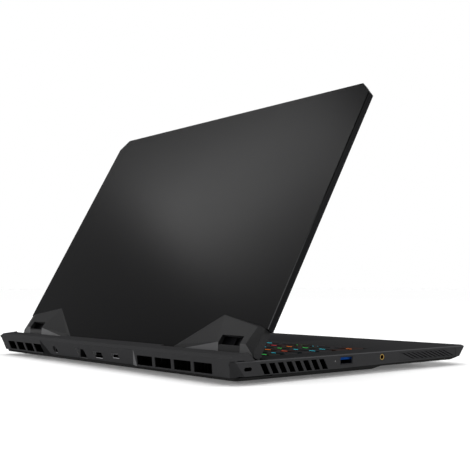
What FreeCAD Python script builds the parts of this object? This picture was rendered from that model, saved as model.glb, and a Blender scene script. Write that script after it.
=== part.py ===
# Laptop computer of the 15.6 inch class, lid partly open. Millimetres.
# X runs to the user's right, Y to the rear, Z up. The origin is the middle of the base's outline on the desk.
# Lid pieces are drawn flat and closed about the hinge axis, then turned to the resting opening.
import FreeCAD, Part
import math
import os
import Sketcher
from FreeCAD import Placement, Rotation, Vector

sizes = {
    # outline of the base
    "base_width": 358,
    "base_depth": 267,
    "deck_height": 16.5,
    "deck_thickness": 1.5,
    "deck_bevel": 0.7,
    "seam_height": 6.2,
    "side_wall": 1.8,
    "front_corner": 8,
    "front_corner_drop": 0.9,
    "front_corner_seam": 14.8,
    "front_corner_floor": 41,
    "front_rake": 9.6,
    "front_lip": 1.2,
    "front_solid": 9,
    "seam_front_height": 7.9,
    "seam_break": 103.5,
    "corner_room": 18,
    "cut_past": 5,
    "overlap": 1,
    "seam_gap": 0.15,
    # bottom cover and feet
    "floor_height": 3.2,
    "floor_thickness": 1.2,
    "front_step": 2,
    "step_inset": 114,
    "step_run": 9.5,
    "bottom_inset": 0.6,
    "tray_wall": 3.8,
    "tray_room": 26,
    "tray_bevel_top": 7.2,
    "tray_bevel_run": 2.8,
    "tray_rear_lean": 1,
    "bottom_front_run": 9,
    "bottom_front_inset": 5.8,
    "bottom_rear_inset": 6.5,
    "foot_width": 9,
    "rear_foot_length": 96,
    "front_foot_length": 60,
    "foot_side": 79,
    "foot_inset": 30,
    "intake_slot_width": 2.2,
    "intake_slot_pitch": 5,
    "intake_slot_length": 62,
    "intake_slot_count": 11,
    "screw_head_radius": 2.4,
    "screw_head_depth": 0.5,
    "screw_shank_radius": 1,
    "screw_length": 4,
    "screw_mid_rear_inset": 33.5,
    "screw_mid_front_inset": 18.5,
    "screw_rear_side": 11,
    "screw_rear_inset": 26.5,
    "screw_waist_side": 93,
    "screw_waist_inset": 125.5,
    "screw_front_side": 41,
    "screw_front_inset": 25.5,
    # hinge and trough
    "hinge_inset": 29.2,
    "hinge_z": 17.4,
    "rest_opening": 59.8,
    "trough_radius": 7.7,
    "trough_wall": 2.2,
    "end_wall": 3.2,
    "hinge_side_gap": 0.4,
    "shaft_radius": 1.75,
    "shaft_clearance": 0.05,
    "barrel_radius": 3,
    "barrel_inset": 79,
    "barrel_length": 20,
    "barrel_gap": 0.4,
    "eye_length": 6,
    "arm_leaf_length": 24,
    "arm_leaf_width": 28,
    "arm_leaf_thickness": 1.3,
    "bracket_leaf_thickness": 1.6,
    "bracket_leaf_drop": 5.7,
    "bracket_leaf_length": 14.5,
    "bracket_web": 1.8,
    "bracket_clearance": 0.4,
    # rear shelf and rear wall
    "shelf_height": 22.4,
    "shelf_depth": 16.5,
    "shelf_skin": 1.4,
    "shelf_crease_inset": 2.9,
    "shelf_crease_drop": 1.6,
    "rear_edge_drop": 3.8,
    "rear_rake": 16.7,
    "rear_wall": 5.4,
    "rear_foot_height": 5.6,
    "trough_block_floor": 8.2,
    "cavity_inset": 15.7,
    "port_bay_inset": 19.9,
    "port_bay_end": 101,
    "cavity_ceiling": 14.5,
    "recess_end": 99.5,
    "recess_floor": 12.9,
    "recess_inset": 17.3,
    "recess_rake": 4.4,
    "shelf_bevel_run": 1.8,
    "shelf_bevel_height": 17.2,
    "corner_top_x": 2,
    "corner_top_y": 3.4,
    "corner_low_x": 6.8,
    "corner_low_y": 15.4,
    "corner_reach": 30,
    "port_recess": 3,
    "port_recess_left_inset": 129.6,
    "port_recess_right_inset": 96.3,
    "port_recess_slope": 11.7,
    # exhaust slots
    "slot_height": 7.5,
    "slot_low": 6.8,
    "slot_lean": 2.2,
    "left_slot_inset": 114.7,
    "left_slot_width": 20.6,
    "left_slot_pitch": 24.1,
    "right_slot_inset": 84,
    "right_slot_width": 14.5,
    "right_slot_pitch": 18,
    "side_slot_inset": 25.8,
    "side_slot_width": 5.4,
    "side_slot_pitch": 8.1,
    "side_slot_lean": 4.1,
    # keyboard
    "keyboard_side": 27,
    "key_row_pitch": 18.4,
    "key_gap": 3.2,
    "function_depth": 12.5,
    "keyboard_inset": 59.5,
    "keyboard_margin": 2,
    "keyboard_rim": 4,
    "key_top": 16.9,
    "key_roof": 1,
    "key_height": 3.3,
    "key_wall": 1.2,
    "key_taper": 0.8,
    "key_travel": 1.6,
    "key_play": 0.4,
    "plate_thickness": 1,
    # touchpad
    "touchpad_width": 105,
    "touchpad_depth": 65,
    "touchpad_inset": 90.5,
    "touchpad_thickness": 1.2,
    "touchpad_gap": 0.35,
    "touchpad_sink": 0.1,
    "touchpad_travel": 0.8,
    "bracket_plate": 0.8,
    "bracket_margin": 4,
    # side openings
    "lock_inset": 15.1,
    "lock_width": 7,
    "lock_height": 2.6,
    "lock_z": 11.1,
    "lock_round": 0.9,
    "status_inset": 99.7,
    "status_radius": 0.7,
    "usb_inset": 111.6,
    "usb_z": 11.9,
    "usb_width": 13.2,
    "usb_height": 5.6,
    "usb_shell": 0.4,
    "usb_depth": 14,
    "usb_tongue": 1.9,
    "usb_tongue_side": 1,
    "socket_back": 1.5,
    "right_usb_inset": 103.5,
    "right_usb_pitch": -24,
    "jack_inset": 152.2,
    "jack_z": 12.2,
    "jack_bore": 1.8,
    "jack_ring": 2.7,
    "jack_depth": 14,
    "jack_block": 7,
    "port_fit": 0.2,
    "grille_rear_inset": 94.1,
    "grille_front_inset": 19.5,
    "grille_low": 8.2,
    "grille_high": 14.6,
    "grille_slot": 2.4,
    "grille_pitch": 5.8,
    "grille_lean": 14,
    "grille_count": 10,
    "grille_margin": 0.5,
    "grille_start": 3,
    # rear ports
    "dc_share": 0.919,
    "dc_z": 10.6,
    "dc_radius": 2.6,
    "dc_ring": 0.5,
    "dc_pin": 1.1,
    "network_share": 0.569,
    "network_width": 13,
    "network_height": 8,
    "network_low": 5.9,
    "network_wall": 0.7,
    "hdmi_share": 0.36,
    "hdmi_width": 13,
    "hdmi_height": 5.2,
    "hdmi_z": 10.3,
    "hdmi_corner": 1.8,
    "usb_c_share": 0.154,
    "usb_c_width": 9.6,
    "usb_c_height": 3.5,
    "usb_c_z": 11.2,
    "board_thickness": 1,
    "port_board_width": 22,
    "port_board_margin": 12,
    "stand_depth": 8,
    "hdmi_tongue": 1.4,
    "usb_c_tongue": 0.7,
    "tongue_share": 0.35,
    # inside
    "mainboard_inset": 99,
    "mainboard_front_inset": 163.5,
    "mainboard_rear_inset": 41.5,
    "fan_side": 57,
    "fan_inset": 73.5,
    "fan_half": 33,
    "fan_floor": 4.7,
    "fan_height": 5.7,
    "fan_skin": 0.7,
    "fan_clearance": 1.5,
    "impeller_radius": 29,
    "impeller_hub": 10,
    "blade_count": 25,
    "blade_thickness": 0.8,
    "blade_sweep": 4,
    "impeller_disc": 21,
    "disc_thickness": 0.6,
    "wheel_gap": 0.5,
    "fan_pin_radius": 1.5,
    "fan_intake": 21,
    "fin_thickness": 0.5,
    "fin_pitch": 4,
    "fin_headroom": 0.7,
    "fin_end": 15,
    "fin_reach": 14,
    "pipe_width": 8,
    "pipe_first_inset": 38,
    "pipe_second_inset": 28.6,
    "pipe_thickness": 2,
    "battery_side": 66,
    "battery_depth": 70,
    "battery_height": 5.4,
    "battery_inset": 94.5,
    "battery_tab": 4,
    "battery_tray": 1,
    "cell_gap": 1,
    "notch_width": 26,
    "notch_depth": 34,
    "cold_plate_thickness": 1.6,
    "cold_plate_depth": 34,
    "cold_plate_start": 15,
    "cold_plate_width": 38,
    "cold_plate_margin": 2,
    "pipe_first_x": 40,
    "pipe_second_x": 22,
    "card_thickness": 1.1,
    "card_margin": 6,
    "chip_margin": 3,
    "chip_height": 1.4,
    "ssd_depth": 48,
    "ssd_left_share": -0.15,
    "ssd_right_share": 0.12,
    "memory_depth": 30,
    "memory_pitch": 36,
    "memory_left_share": 0.3,
    "memory_right_share": 0.92,
    "wireless_left_share": -0.58,
    "wireless_right_share": -0.3,
    "speaker_width": 30,
    "speaker_gap": 0.3,
    "speaker_inset": 2,
    "speaker_mouth": 1.2,
    "inner_gap": 0.2,
    # lid
    "lid_side_gap": 1,
    "lid_front_gap": 0.5,
    "lid_outer": 6,
    "lid_inner": 0.3,
    "lid_split": 3.15,
    "lid_seam": 0.1,
    "lid_skin": 1.4,
    "lid_rim": 2.5,
    "lid_corner": 11,
    "lid_bevel": 0.5,
    "lid_room_corner": 9.2,
    "lid_tail": 4,
    "lid_tail_end": 85,
    "lid_low": 4.6,
    "lid_end_inset": 2.4,
    "screen_side": 6.9,
    "screen_top_gap": 11.7,
    "screen_low": 32,
    "panel_border": 2,
    "panel_chin": 6,
    "panel_thickness": 3.4,
    "bezel_lip": 0.7,
    "camera_half": 20,
    "camera_margin": 1.2,
    "camera_sink": 0.1,
    "camera_lens": 1.6,
    "bumper_height": 1,
    "bumper_width": 2,
    "bumper_edge": 2.2,
    "bumper_side_inset": 40,
    "bumper_length": 30,
    # faceted hinge covers
    "cover_length": 98,
    "cover_apex_inset": 54,
    "cover_apex_u": 29.5,
    "cover_outer_u": 20.5,
    "cover_ridge_inset": 44,
    "cover_end_bevel": 7,
    "cover_ridge_u": 5.5,
    "cover_rise": 3.8,
    "cover_end_rise": 1.4,
    "cover_tip_u": 0.8,
    "cover_tip_rise": 1.2,
    "cover_tip_lift": 1.6,
    "cover_tip_run": 3,
    "cover_shoulder_run": 2,
    "cover_end_drop": 2,
    "cheek_drop": 1,
    "cover_low": 2,
    "cover_notch_inset": 42.5,
    "cover_notch_width": 24,
    "cover_notch_u": 12,
    "cover_lip_u": 4.4,
    "cover_lip_depth": 1.2,
    "cheek_width": 4,
}

doc = FreeCAD.newDocument("laptop")
sheet = doc.addObject("Spreadsheet::Sheet", "dim")
for row, (name, value) in enumerate(sizes.items(), start=1):
    sheet.set(f"A{row}", name)
    sheet.set(f"B{row}", str(value))
    sheet.setAlias(f"B{row}", name)
doc.recompute()


class Size:
    """A length that carries both its value and the sheet expression that gives it."""

    def __init__(self, value, text):
        self.value = value
        self.text = text

    def __add__(self, other):
        other = size(other)
        return Size(self.value + other.value, f"({self.text} + {other.text})")

    def __sub__(self, other):
        other = size(other)
        return Size(self.value - other.value, f"({self.text} - {other.text})")

    def __mul__(self, other):
        other = size(other)
        return Size(self.value * other.value, f"({self.text} * {other.text})")

    def __truediv__(self, other):
        other = size(other)
        return Size(self.value / other.value, f"({self.text} / {other.text})")

    def __neg__(self):
        return Size(-self.value, f"(0 - {self.text})")

    def __radd__(self, other):
        return size(other) + self

    def __rsub__(self, other):
        return size(other) - self

    def __rmul__(self, other):
        return size(other) * self


def size(number):
    if isinstance(number, Size):
        return number
    return Size(float(number), f"({float(number)!r})")


def tangent(degrees):
    return Size(math.tan(math.radians(degrees.value)), f"tan({degrees.text} * 1 deg)")


class Dims:
    """Every cell of the sheet as a Size, by its alias."""


d = Dims()
for name in sizes:
    setattr(d, name, Size(float(sheet.get(name)), f"dim.{name}"))

units_wide = 16
half = d.base_width / 2
rear = d.base_depth / 2
front = -d.base_depth / 2

# places that follow from the outline
d.hinge_y = rear - d.hinge_inset
d.shelf_front_y = rear - d.shelf_depth
d.cavity_front_y = rear - d.cavity_inset
d.port_bay_front_y = rear - d.port_bay_inset
d.port_bay_half = half - d.port_bay_end
d.recess_inner_x = half - d.recess_end
d.recess_foot_y = rear - d.recess_inset
d.port_recess_left = d.port_recess_left_inset - half
d.port_recess_right = half - d.port_recess_right_inset
d.left_slot_start = half - d.left_slot_inset
d.right_slot_start = half - d.right_slot_inset
d.side_slot_start = rear - d.side_slot_inset
d.barrel_inner_x = half - d.barrel_inset
d.key_unit = (half - d.keyboard_side) * 2 / units_wide
d.keyboard_rear = rear - d.keyboard_inset
d.touchpad_rear = front + d.touchpad_inset
d.lock_y = rear - d.lock_inset
d.seam_break_y = rear - d.seam_break
d.status_y = rear - d.status_inset
d.usb_y = rear - d.usb_inset
d.right_usb_first_y = rear - d.right_usb_inset
d.jack_y = rear - d.jack_inset
d.grille_rear = front + d.grille_rear_inset
d.grille_front = front + d.grille_front_inset
d.mainboard_half = half - d.mainboard_inset
d.mainboard_front = rear - d.mainboard_front_inset
d.mainboard_rear = rear - d.mainboard_rear_inset
d.fan_x = half - d.fan_side
d.fan_y = rear - d.fan_inset
d.pipe_first_y = rear - d.pipe_first_inset
d.pipe_second_y = rear - d.pipe_second_inset
d.battery_width = (half - d.battery_side) * 2
d.battery_rear = front + d.battery_inset
d.screw_mid_rear_y = rear - d.screw_mid_rear_inset
d.screw_mid_front_y = front + d.screw_mid_front_inset
d.screw_rear_x = half - d.screw_rear_side
d.screw_rear_y = rear - d.screw_rear_inset
d.screw_waist_x = half - d.screw_waist_side
d.screw_waist_y = rear - d.screw_waist_inset
d.screw_front_x = half - d.screw_front_side
d.screw_front_y = front + d.screw_front_inset
d.foot_spread = half - d.foot_side
d.step_front_y = front + d.step_inset
d.lid_width = d.base_width - d.lid_side_gap * 2
d.lid_tail_half = half - d.lid_tail_end
d.screen_width = d.base_width - d.screen_side * 2
d.screen_height = rear * 2 - d.hinge_inset - d.lid_front_gap - d.screen_top_gap - d.screen_low
d.cover_inner_x = half - d.cover_length
d.cover_apex_x = half - d.cover_apex_inset
d.cover_ridge_x = half - d.cover_ridge_inset
d.cover_notch_x = half - d.cover_notch_inset
d.dc_x = d.port_recess_left + (d.port_recess_right - d.port_recess_left) * d.dc_share
d.network_x = d.port_recess_left + (d.port_recess_right - d.port_recess_left) * d.network_share
d.hdmi_x = d.port_recess_left + (d.port_recess_right - d.port_recess_left) * d.hdmi_share
d.usb_c_x = d.port_recess_left + (d.port_recess_right - d.port_recess_left) * d.usb_c_share

parts = {}
turned_parts = []


def bind(target, **expressions):
    for prop, value in expressions.items():
        target.setExpression(prop.replace("_of_", "."), size(value).text)


def sub_part(label, target, turned=False):
    target.Label = label
    parts[label] = target
    if turned:
        turned_parts.append(target)
    return target


# drawing helpers

def new_body(name):
    return doc.addObject("PartDesign::Body", name)


def new_sketch(body, name, plane, level):
    sketch = body.newObject("Sketcher::SketchObject", name)
    support = next(f for f in body.Origin.OriginFeatures if f.Role == plane)
    sketch.AttachmentSupport = (support, [""])
    sketch.MapMode = "FlatFace"
    bind(sketch, AttachmentOffset_of_Base_of_z=level)
    return sketch


def polygon(sketch, points):
    points = [(size(a), size(b)) for a, b in points]
    first = sketch.GeometryCount
    count = len(points)
    for i, (a, b) in enumerate(points):
        nxt = points[(i + 1) % count]
        sketch.addGeometry(Part.LineSegment(Vector(a.value, b.value, 0),
                                            Vector(nxt[0].value, nxt[1].value, 0)))
    for i, (a, b) in enumerate(points):
        sketch.addConstraint(Sketcher.Constraint("Coincident", first + i, 2, first + (i + 1) % count, 1))
        across = sketch.addConstraint(Sketcher.Constraint("DistanceX", -1, 1, first + i, 1, a.value))
        sketch.setExpression(f"Constraints[{across}]", a.text)
        up = sketch.addConstraint(Sketcher.Constraint("DistanceY", -1, 1, first + i, 1, b.value))
        sketch.setExpression(f"Constraints[{up}]", b.text)


def circle(sketch, centre, radius):
    a, b = size(centre[0]), size(centre[1])
    ring = sketch.addGeometry(Part.Circle(Vector(a.value, b.value, 0), Vector(0, 0, 1), radius.value))
    across = sketch.addConstraint(Sketcher.Constraint("DistanceX", -1, 1, ring, 3, a.value))
    sketch.setExpression(f"Constraints[{across}]", a.text)
    up = sketch.addConstraint(Sketcher.Constraint("DistanceY", -1, 1, ring, 3, b.value))
    sketch.setExpression(f"Constraints[{up}]", b.text)
    span = sketch.addConstraint(Sketcher.Constraint("Radius", ring, radius.value))
    sketch.setExpression(f"Constraints[{span}]", radius.text)


def rectangle(a0, a1, b0, b1):
    return [(a0, b0), (a1, b0), (a1, b1), (a0, b1)]


def feature(body, kind, name, sketch, length, reverse=False, symmetric=False):
    made = body.newObject(f"PartDesign::{kind}", name)
    made.Profile = sketch
    if symmetric:
        made.SideType = "Symmetric"
    made.Reversed = reverse
    bind(made, Length=length)
    sketch.Visibility = False
    return made


def pad(body, name, plane, points, level, length, **options):
    sketch = new_sketch(body, name + "_outline", plane, level)
    polygon(sketch, points)
    return feature(body, "Pad", name, sketch, length, **options)


def pocket(body, name, plane, points, level, length, **options):
    sketch = new_sketch(body, name + "_outline", plane, level)
    polygon(sketch, points)
    return feature(body, "Pocket", name, sketch, length, **options)


def bore(body, name, plane, centre, radius, level, length, **options):
    sketch = new_sketch(body, name + "_outline", plane, level)
    circle(sketch, centre, radius)
    return feature(body, "Pocket", name, sketch, length, **options)


def row_of(body, name, original, axis, pitch, count, reverse=False):
    pattern = body.newObject("PartDesign::LinearPattern", name)
    pattern.Originals = [original]
    direction = next(f for f in body.Origin.OriginFeatures if f.Role == axis)
    pattern.Direction = (direction, [""])
    pattern.Reversed = reverse
    pattern.Occurrences = count
    bind(pattern, Length=pitch * (count - 1))
    body.Tip = pattern
    return pattern


def bevel(body, name, base, width, chosen):
    """Chamfers the edges whose two ends are both chosen."""
    doc.recompute()
    edges = [f"Edge{i}" for i, edge in enumerate(base.Shape.Edges, start=1)
             if all(chosen(vertex.Point) for vertex in edge.Vertexes)]
    made = body.newObject("PartDesign::Chamfer", name)
    made.Base = (base, edges)
    bind(made, Size=width)
    return made


def box(name, x0, x1, y0, y1, z0, z1):
    made = doc.addObject("Part::Box", name)
    x0, x1, y0, y1, z0, z1 = (size(v) for v in (x0, x1, y0, y1, z0, z1))
    bind(made, Length=x1 - x0, Width=y1 - y0, Height=z1 - z0)
    bind(made, Placement_of_Base_of_x=x0, Placement_of_Base_of_y=y0, Placement_of_Base_of_z=z0)
    return made


def cylinder(name, axis, start, radius, length):
    made = doc.addObject("Part::Cylinder", name)
    turn = {"x": Rotation(Vector(0, 1, 0), 90), "y": Rotation(Vector(1, 0, 0), -90), "z": Rotation()}
    made.Placement = Placement(Vector(), turn[axis])
    bind(made, Radius=radius, Height=length)
    x, y, z = start
    bind(made, Placement_of_Base_of_x=x, Placement_of_Base_of_y=y, Placement_of_Base_of_z=z)
    return made


def fuse(name, *pieces):
    made = doc.addObject("Part::MultiFuse", name)
    made.Shapes = list(pieces)
    made.Refine = True
    return made


def cut(name, base, *tools):
    made = doc.addObject("Part::Cut", name)
    made.Base = base
    made.Tool = tools[0] if len(tools) == 1 else fuse(name + "_tools", *tools)
    return made


def group(name, pieces):
    made = doc.addObject("Part::Compound", name)
    made.Links = list(pieces)
    return made


def mirrored(x0, x1, side):
    """The same stretch of X on the user's left (-1) or right (+1)."""
    return (x0, x1) if side > 0 else (-x1, -x0)


sides = {"left": -1, "right": 1}

# shared places
deck_under = d.deck_height - d.deck_thickness
bay_half = half - d.end_wall
bay_front = d.hinge_y - d.trough_radius - d.trough_wall
rear_edge = d.shelf_height - d.rear_edge_drop
rear_slope = tangent(d.rear_rake)
floor_top = d.floor_height + d.floor_thickness
front_floor = d.floor_height + d.front_step
lid_end = d.lid_width / 2 - d.lid_end_inset
leaf_top = d.hinge_z - d.bracket_leaf_drop + d.bracket_leaf_thickness
leaf_low = d.hinge_z - d.bracket_leaf_drop
leaf_front = bay_front - d.bracket_leaf_length + d.trough_wall
slot_high = d.slot_low + d.slot_height
tray_half = half - d.bottom_inset - d.tray_wall
side_slot_count = 8
rear_slot_count = 4
memory_count = 2
cell_count = 3
tiny = 0.01
flush = 1e-6

# keyboard places
row_widths = [
    [1] * 15,
    [1] * 13 + [2, 1],
    [1.5] + [1] * 12 + [1.5, 1],
    [1.75] + [1] * 11 + [2.25, 1],
    [2.25] + [1] * 10 + [1.75, 1, 1],
    [1.25, 1, 1, 1.25, 5.25, 1.25, 1, 1, 1, 1, 1],
]
keyboard_half = d.key_unit * units_wide / 2
keyboard_front = d.keyboard_rear - d.function_depth - d.key_row_pitch * (len(row_widths) - 1)
well_half = keyboard_half - d.key_gap / 2 + d.keyboard_margin
well_rear = d.keyboard_rear + d.keyboard_margin
well_front = keyboard_front - d.keyboard_margin
roof_under = d.key_top - d.key_roof
post_top = roof_under - d.key_travel - d.key_play
skirt_low = d.key_top - d.key_height
plate_top = skirt_low - d.key_travel - d.key_play
plate_low = plate_top - d.plate_thickness


def corner_cutter(name, side, out_y, levels):
    """A loft that takes a corner off. Each level gives height, inset, and where side and end are met."""
    body = new_body(f"corner_cutter_{name}")
    sketches = []
    for i, (height, inset, side_y, end_y) in enumerate(levels):
        sketch = new_sketch(body, f"corner_{name}_{i}", "XY_Plane", height)
        inner, outer = (half - inset) * side, (half + d.corner_reach) * side
        polygon(sketch,
                [(half * side, side_y), (inner, end_y), (inner, out_y), (outer, out_y), (outer, side_y)])
        sketches.append(sketch)
    loft = body.newObject("PartDesign::AdditiveLoft", f"corner_loft_{name}")
    loft.Profile = sketches[0]
    loft.Sections = [(sketch, [""]) for sketch in sketches[1:]]
    loft.Ruled = True
    return body


def corner_cutters():
    """Leaning cuts at the four corners of the base, each wider towards the floor."""
    top = d.shelf_bevel_height
    low = d.floor_height - d.overlap
    rear_levels = [(low, d.corner_low_x, rear - d.corner_low_y, rear_wall_y(low)),
                   (top, d.corner_top_x, rear - d.corner_top_y, rear_wall_y(top))]
    insets = [(low, d.front_corner_floor), (d.seam_front_height, d.front_corner_seam),
              (d.deck_height - d.front_corner_drop, d.front_corner)]
    front_levels = [(height, inset, front + inset, front) for height, inset in insets]
    tools = []
    for name, side in sides.items():
        tools.append(corner_cutter(f"rear_{name}", side, rear + d.corner_reach, rear_levels))
        tools.append(corner_cutter(f"front_{name}", side, front - d.corner_reach, front_levels))
    return tools


def rear_wall_y(z):
    """Where the leaning rear wall stands at a height."""
    return rear - rear_slope * (rear_edge - z)


def seam_z(y):
    """Height of the seam between top case and bottom cover, which climbs towards the front."""
    rise = (d.seam_front_height - d.seam_height) / (d.seam_break_y - front)
    return d.seam_height + rise * (d.seam_break_y - y)


def make_top_case(cutters):
    body = new_body("top_case_body")
    plan = [(-half, rear), (-half, front + d.front_corner), (-half + d.front_corner, front),
            (half - d.front_corner, front), (half, front + d.front_corner), (half, rear)]
    block = pad(body, "case_block", "XY_Plane", plan, d.seam_height, d.deck_height - d.seam_height)
    bevel(body, "deck_edge_bevel", block, d.deck_bevel, lambda point: point.z > d.deck_height.value - tiny
          and (abs(point.x) > half.value - tiny or point.y < front.value + tiny))
    through = d.base_width + d.cut_past * 2
    high, low = d.deck_height + d.cut_past, d.seam_height - d.cut_past
    rear_lean = [(rear_wall_y(high), high), (rear_wall_y(low), low), (rear + d.cut_past, low),
                 (rear + d.cut_past, high)]
    pocket(body, "rear_lean_cut", "YZ_Plane", rear_lean, 0, through, symmetric=True)
    pocket(body, "rear_bay", "XY_Plane", rectangle(-bay_half, bay_half, bay_front, rear + d.cut_past), high,
           high - low)
    inner = half - d.side_wall
    room_front = front + d.front_solid
    room_side = front + d.corner_room - d.side_wall
    room_x = half - d.corner_room + d.front_solid
    room = [(-inner, bay_front + d.overlap), (-inner, room_side), (-room_x, room_front), (room_x, room_front),
            (inner, room_side), (inner, bay_front + d.overlap)]
    pocket(body, "hollow", "XY_Plane", room, d.seam_height, deck_under - d.seam_height, reverse=True)
    seam = [(d.seam_break_y, d.seam_height), (front - d.cut_past, seam_z(front - d.cut_past)),
            (front - d.cut_past, low), (d.seam_break_y, low)]
    pocket(body, "seam_climb", "YZ_Plane", seam, 0, through, symmetric=True)
    pocket(body, "keyboard_well", "XY_Plane", rectangle(-well_half, well_half, well_front, well_rear),
           d.deck_height, d.deck_thickness + d.overlap)
    pad_half = d.touchpad_width / 2 + d.touchpad_gap
    pad_front = d.touchpad_rear - d.touchpad_depth - d.touchpad_gap
    pocket(body, "touchpad_well", "XY_Plane",
           rectangle(-pad_half, pad_half, pad_front, d.touchpad_rear + d.touchpad_gap),
           d.deck_height, d.deck_thickness + d.overlap)
    rake_top = d.deck_height - d.front_lip
    rake = [(front, rake_top), (front + d.front_rake, low), (front - d.cut_past, low),
            (front - d.cut_past, rake_top)]
    pocket(body, "front_rake_cut", "YZ_Plane", rake, 0, through, symmetric=True)
    slot = [(d.side_slot_start - d.side_slot_width, slot_high), (d.side_slot_start, slot_high),
            (d.side_slot_start - d.side_slot_lean, d.slot_low),
            (d.side_slot_start - d.side_slot_lean - d.side_slot_width, d.slot_low)]
    vent = pocket(body, "side_slot", "YZ_Plane", slot, 0, through, symmetric=True)
    row_of(body, "side_slots", vent, "Y_Axis", d.side_slot_pitch, side_slot_count, reverse=True)
    grille = rectangle(d.grille_front, d.grille_rear, d.grille_low, d.grille_high)
    pocket(body, "grille_window", "YZ_Plane", grille, 0, through, symmetric=True)
    wall_cut = d.end_wall + d.cut_past
    left_level = -half + d.end_wall + d.overlap
    a, b, c = d.lock_width / 2, d.lock_height / 2, d.lock_round
    lock = [(-a, c - b), (c - a, -b), (a - c, -b), (a, c - b), (a, b - c), (a - c, b), (c - a, b),
            (-a, b - c)]
    pocket(body, "lock_cut", "YZ_Plane", [(d.lock_y + y, d.lock_z + z) for y, z in lock], left_level,
           wall_cut)
    usb_half = d.usb_width / 2 + d.port_fit
    usb_rise = d.usb_height / 2 + d.port_fit
    pocket(body, "usb_left_cut", "YZ_Plane",
           rectangle(d.usb_y - usb_half, d.usb_y + usb_half, d.usb_z - usb_rise, d.usb_z + usb_rise),
           left_level, wall_cut)
    bore(body, "jack_cut", "YZ_Plane", (d.jack_y, d.jack_z), d.jack_ring + d.port_fit, left_level, wall_cut)
    bore(body, "status_cut", "YZ_Plane", (d.status_y, d.usb_z), d.status_radius, left_level, wall_cut)
    usb_first = pocket(body, "usb_right_cut", "YZ_Plane",
                       rectangle(d.right_usb_first_y - usb_half, d.right_usb_first_y + usb_half,
                                 d.usb_z - usb_rise, d.usb_z + usb_rise),
                       -left_level, wall_cut, reverse=True)
    row_of(body, "usb_right_cuts", usb_first, "Y_Axis", -d.right_usb_pitch, 2, reverse=True)
    for name, side in sides.items():
        x0, x1 = mirrored(d.barrel_inner_x, d.barrel_inner_x + d.barrel_length, side)
        pad(body, f"hinge_boss_{name}", "XY_Plane", rectangle(x0, x1, leaf_front, bay_front - d.seam_gap),
            leaf_top, deck_under - leaf_top)
    sub_part("top_case", cut("top_case", body, *cutters))


def faceted(points):
    """The solid whose flat faces wrap the outermost of the given points."""
    faces = []
    seen = []
    count = len(points)
    for i in range(count):
        for j in range(i + 1, count):
            for k in range(j + 1, count):
                normal = (points[j] - points[i]).cross(points[k] - points[i])
                if normal.Length < flush:
                    continue
                normal.normalize()
                offsets = [(p - points[i]).dot(normal) for p in points]
                if max(offsets) > flush and min(offsets) < -flush:
                    continue
                flat = tuple(n for n, off in enumerate(offsets) if abs(off) < flush)
                if flat in seen:
                    continue
                seen.append(flat)
                middle = sum((points[n] for n in flat), Vector()) / len(flat)
                across = (points[flat[0]] - middle).normalize()
                along = normal.cross(across)
                ring = sorted(flat, key=lambda n: math.atan2((points[n] - middle).dot(along),
                                                             (points[n] - middle).dot(across)))
                loop = [points[n] for n in ring]
                faces.append(Part.Face(Part.makePolygon(loop + loop[:1])))
    solid = Part.Solid(Part.Shell(faces))
    if solid.Volume < 0:
        solid.reverse()
    return solid


def port_recess_cutter():
    """A wedge that leaves the rear edge whole and sets the port wall back towards its foot."""
    left, right = d.port_recess_left, d.port_recess_right
    wide_left, wide_right = left - d.port_recess_slope, right + d.port_recess_slope
    foot = d.floor_height
    foot_y = rear_wall_y(foot)
    out_y = rear + d.corner_reach
    corners = [(wide_left, rear, rear_edge), (wide_right, rear, rear_edge), (wide_left, foot_y, foot),
               (wide_right, foot_y, foot), (left, port_face(foot), foot), (right, port_face(foot), foot),
               (wide_left, out_y, rear_edge), (wide_right, out_y, rear_edge), (wide_left, out_y, foot),
               (wide_right, out_y, foot)]
    cutter = doc.addObject("Part::Feature", "port_recess_cutter")
    cutter.Shape = faceted([Vector(size(x).value, size(y).value, size(z).value) for x, y, z in corners])
    return cutter


def port_face(z):
    """Where the port wall stands at a height."""
    return rear_wall_y(z) - d.port_recess * (rear_edge - z) / (rear_edge - d.rear_foot_height)


def hdmi_outline(grow):
    """The display socket's mouth, its two lower corners cut off, grown by an allowance all round."""
    a, b, k = d.hdmi_width / 2 + grow, d.hdmi_height / 2 + grow, d.hdmi_corner
    corners = [(-a, b), (-a, k - b), (k - a, -b), (a - k, -b), (a, k - b), (a, b)]
    return [(d.hdmi_x + x, d.hdmi_z + z) for x, z in corners]


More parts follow.
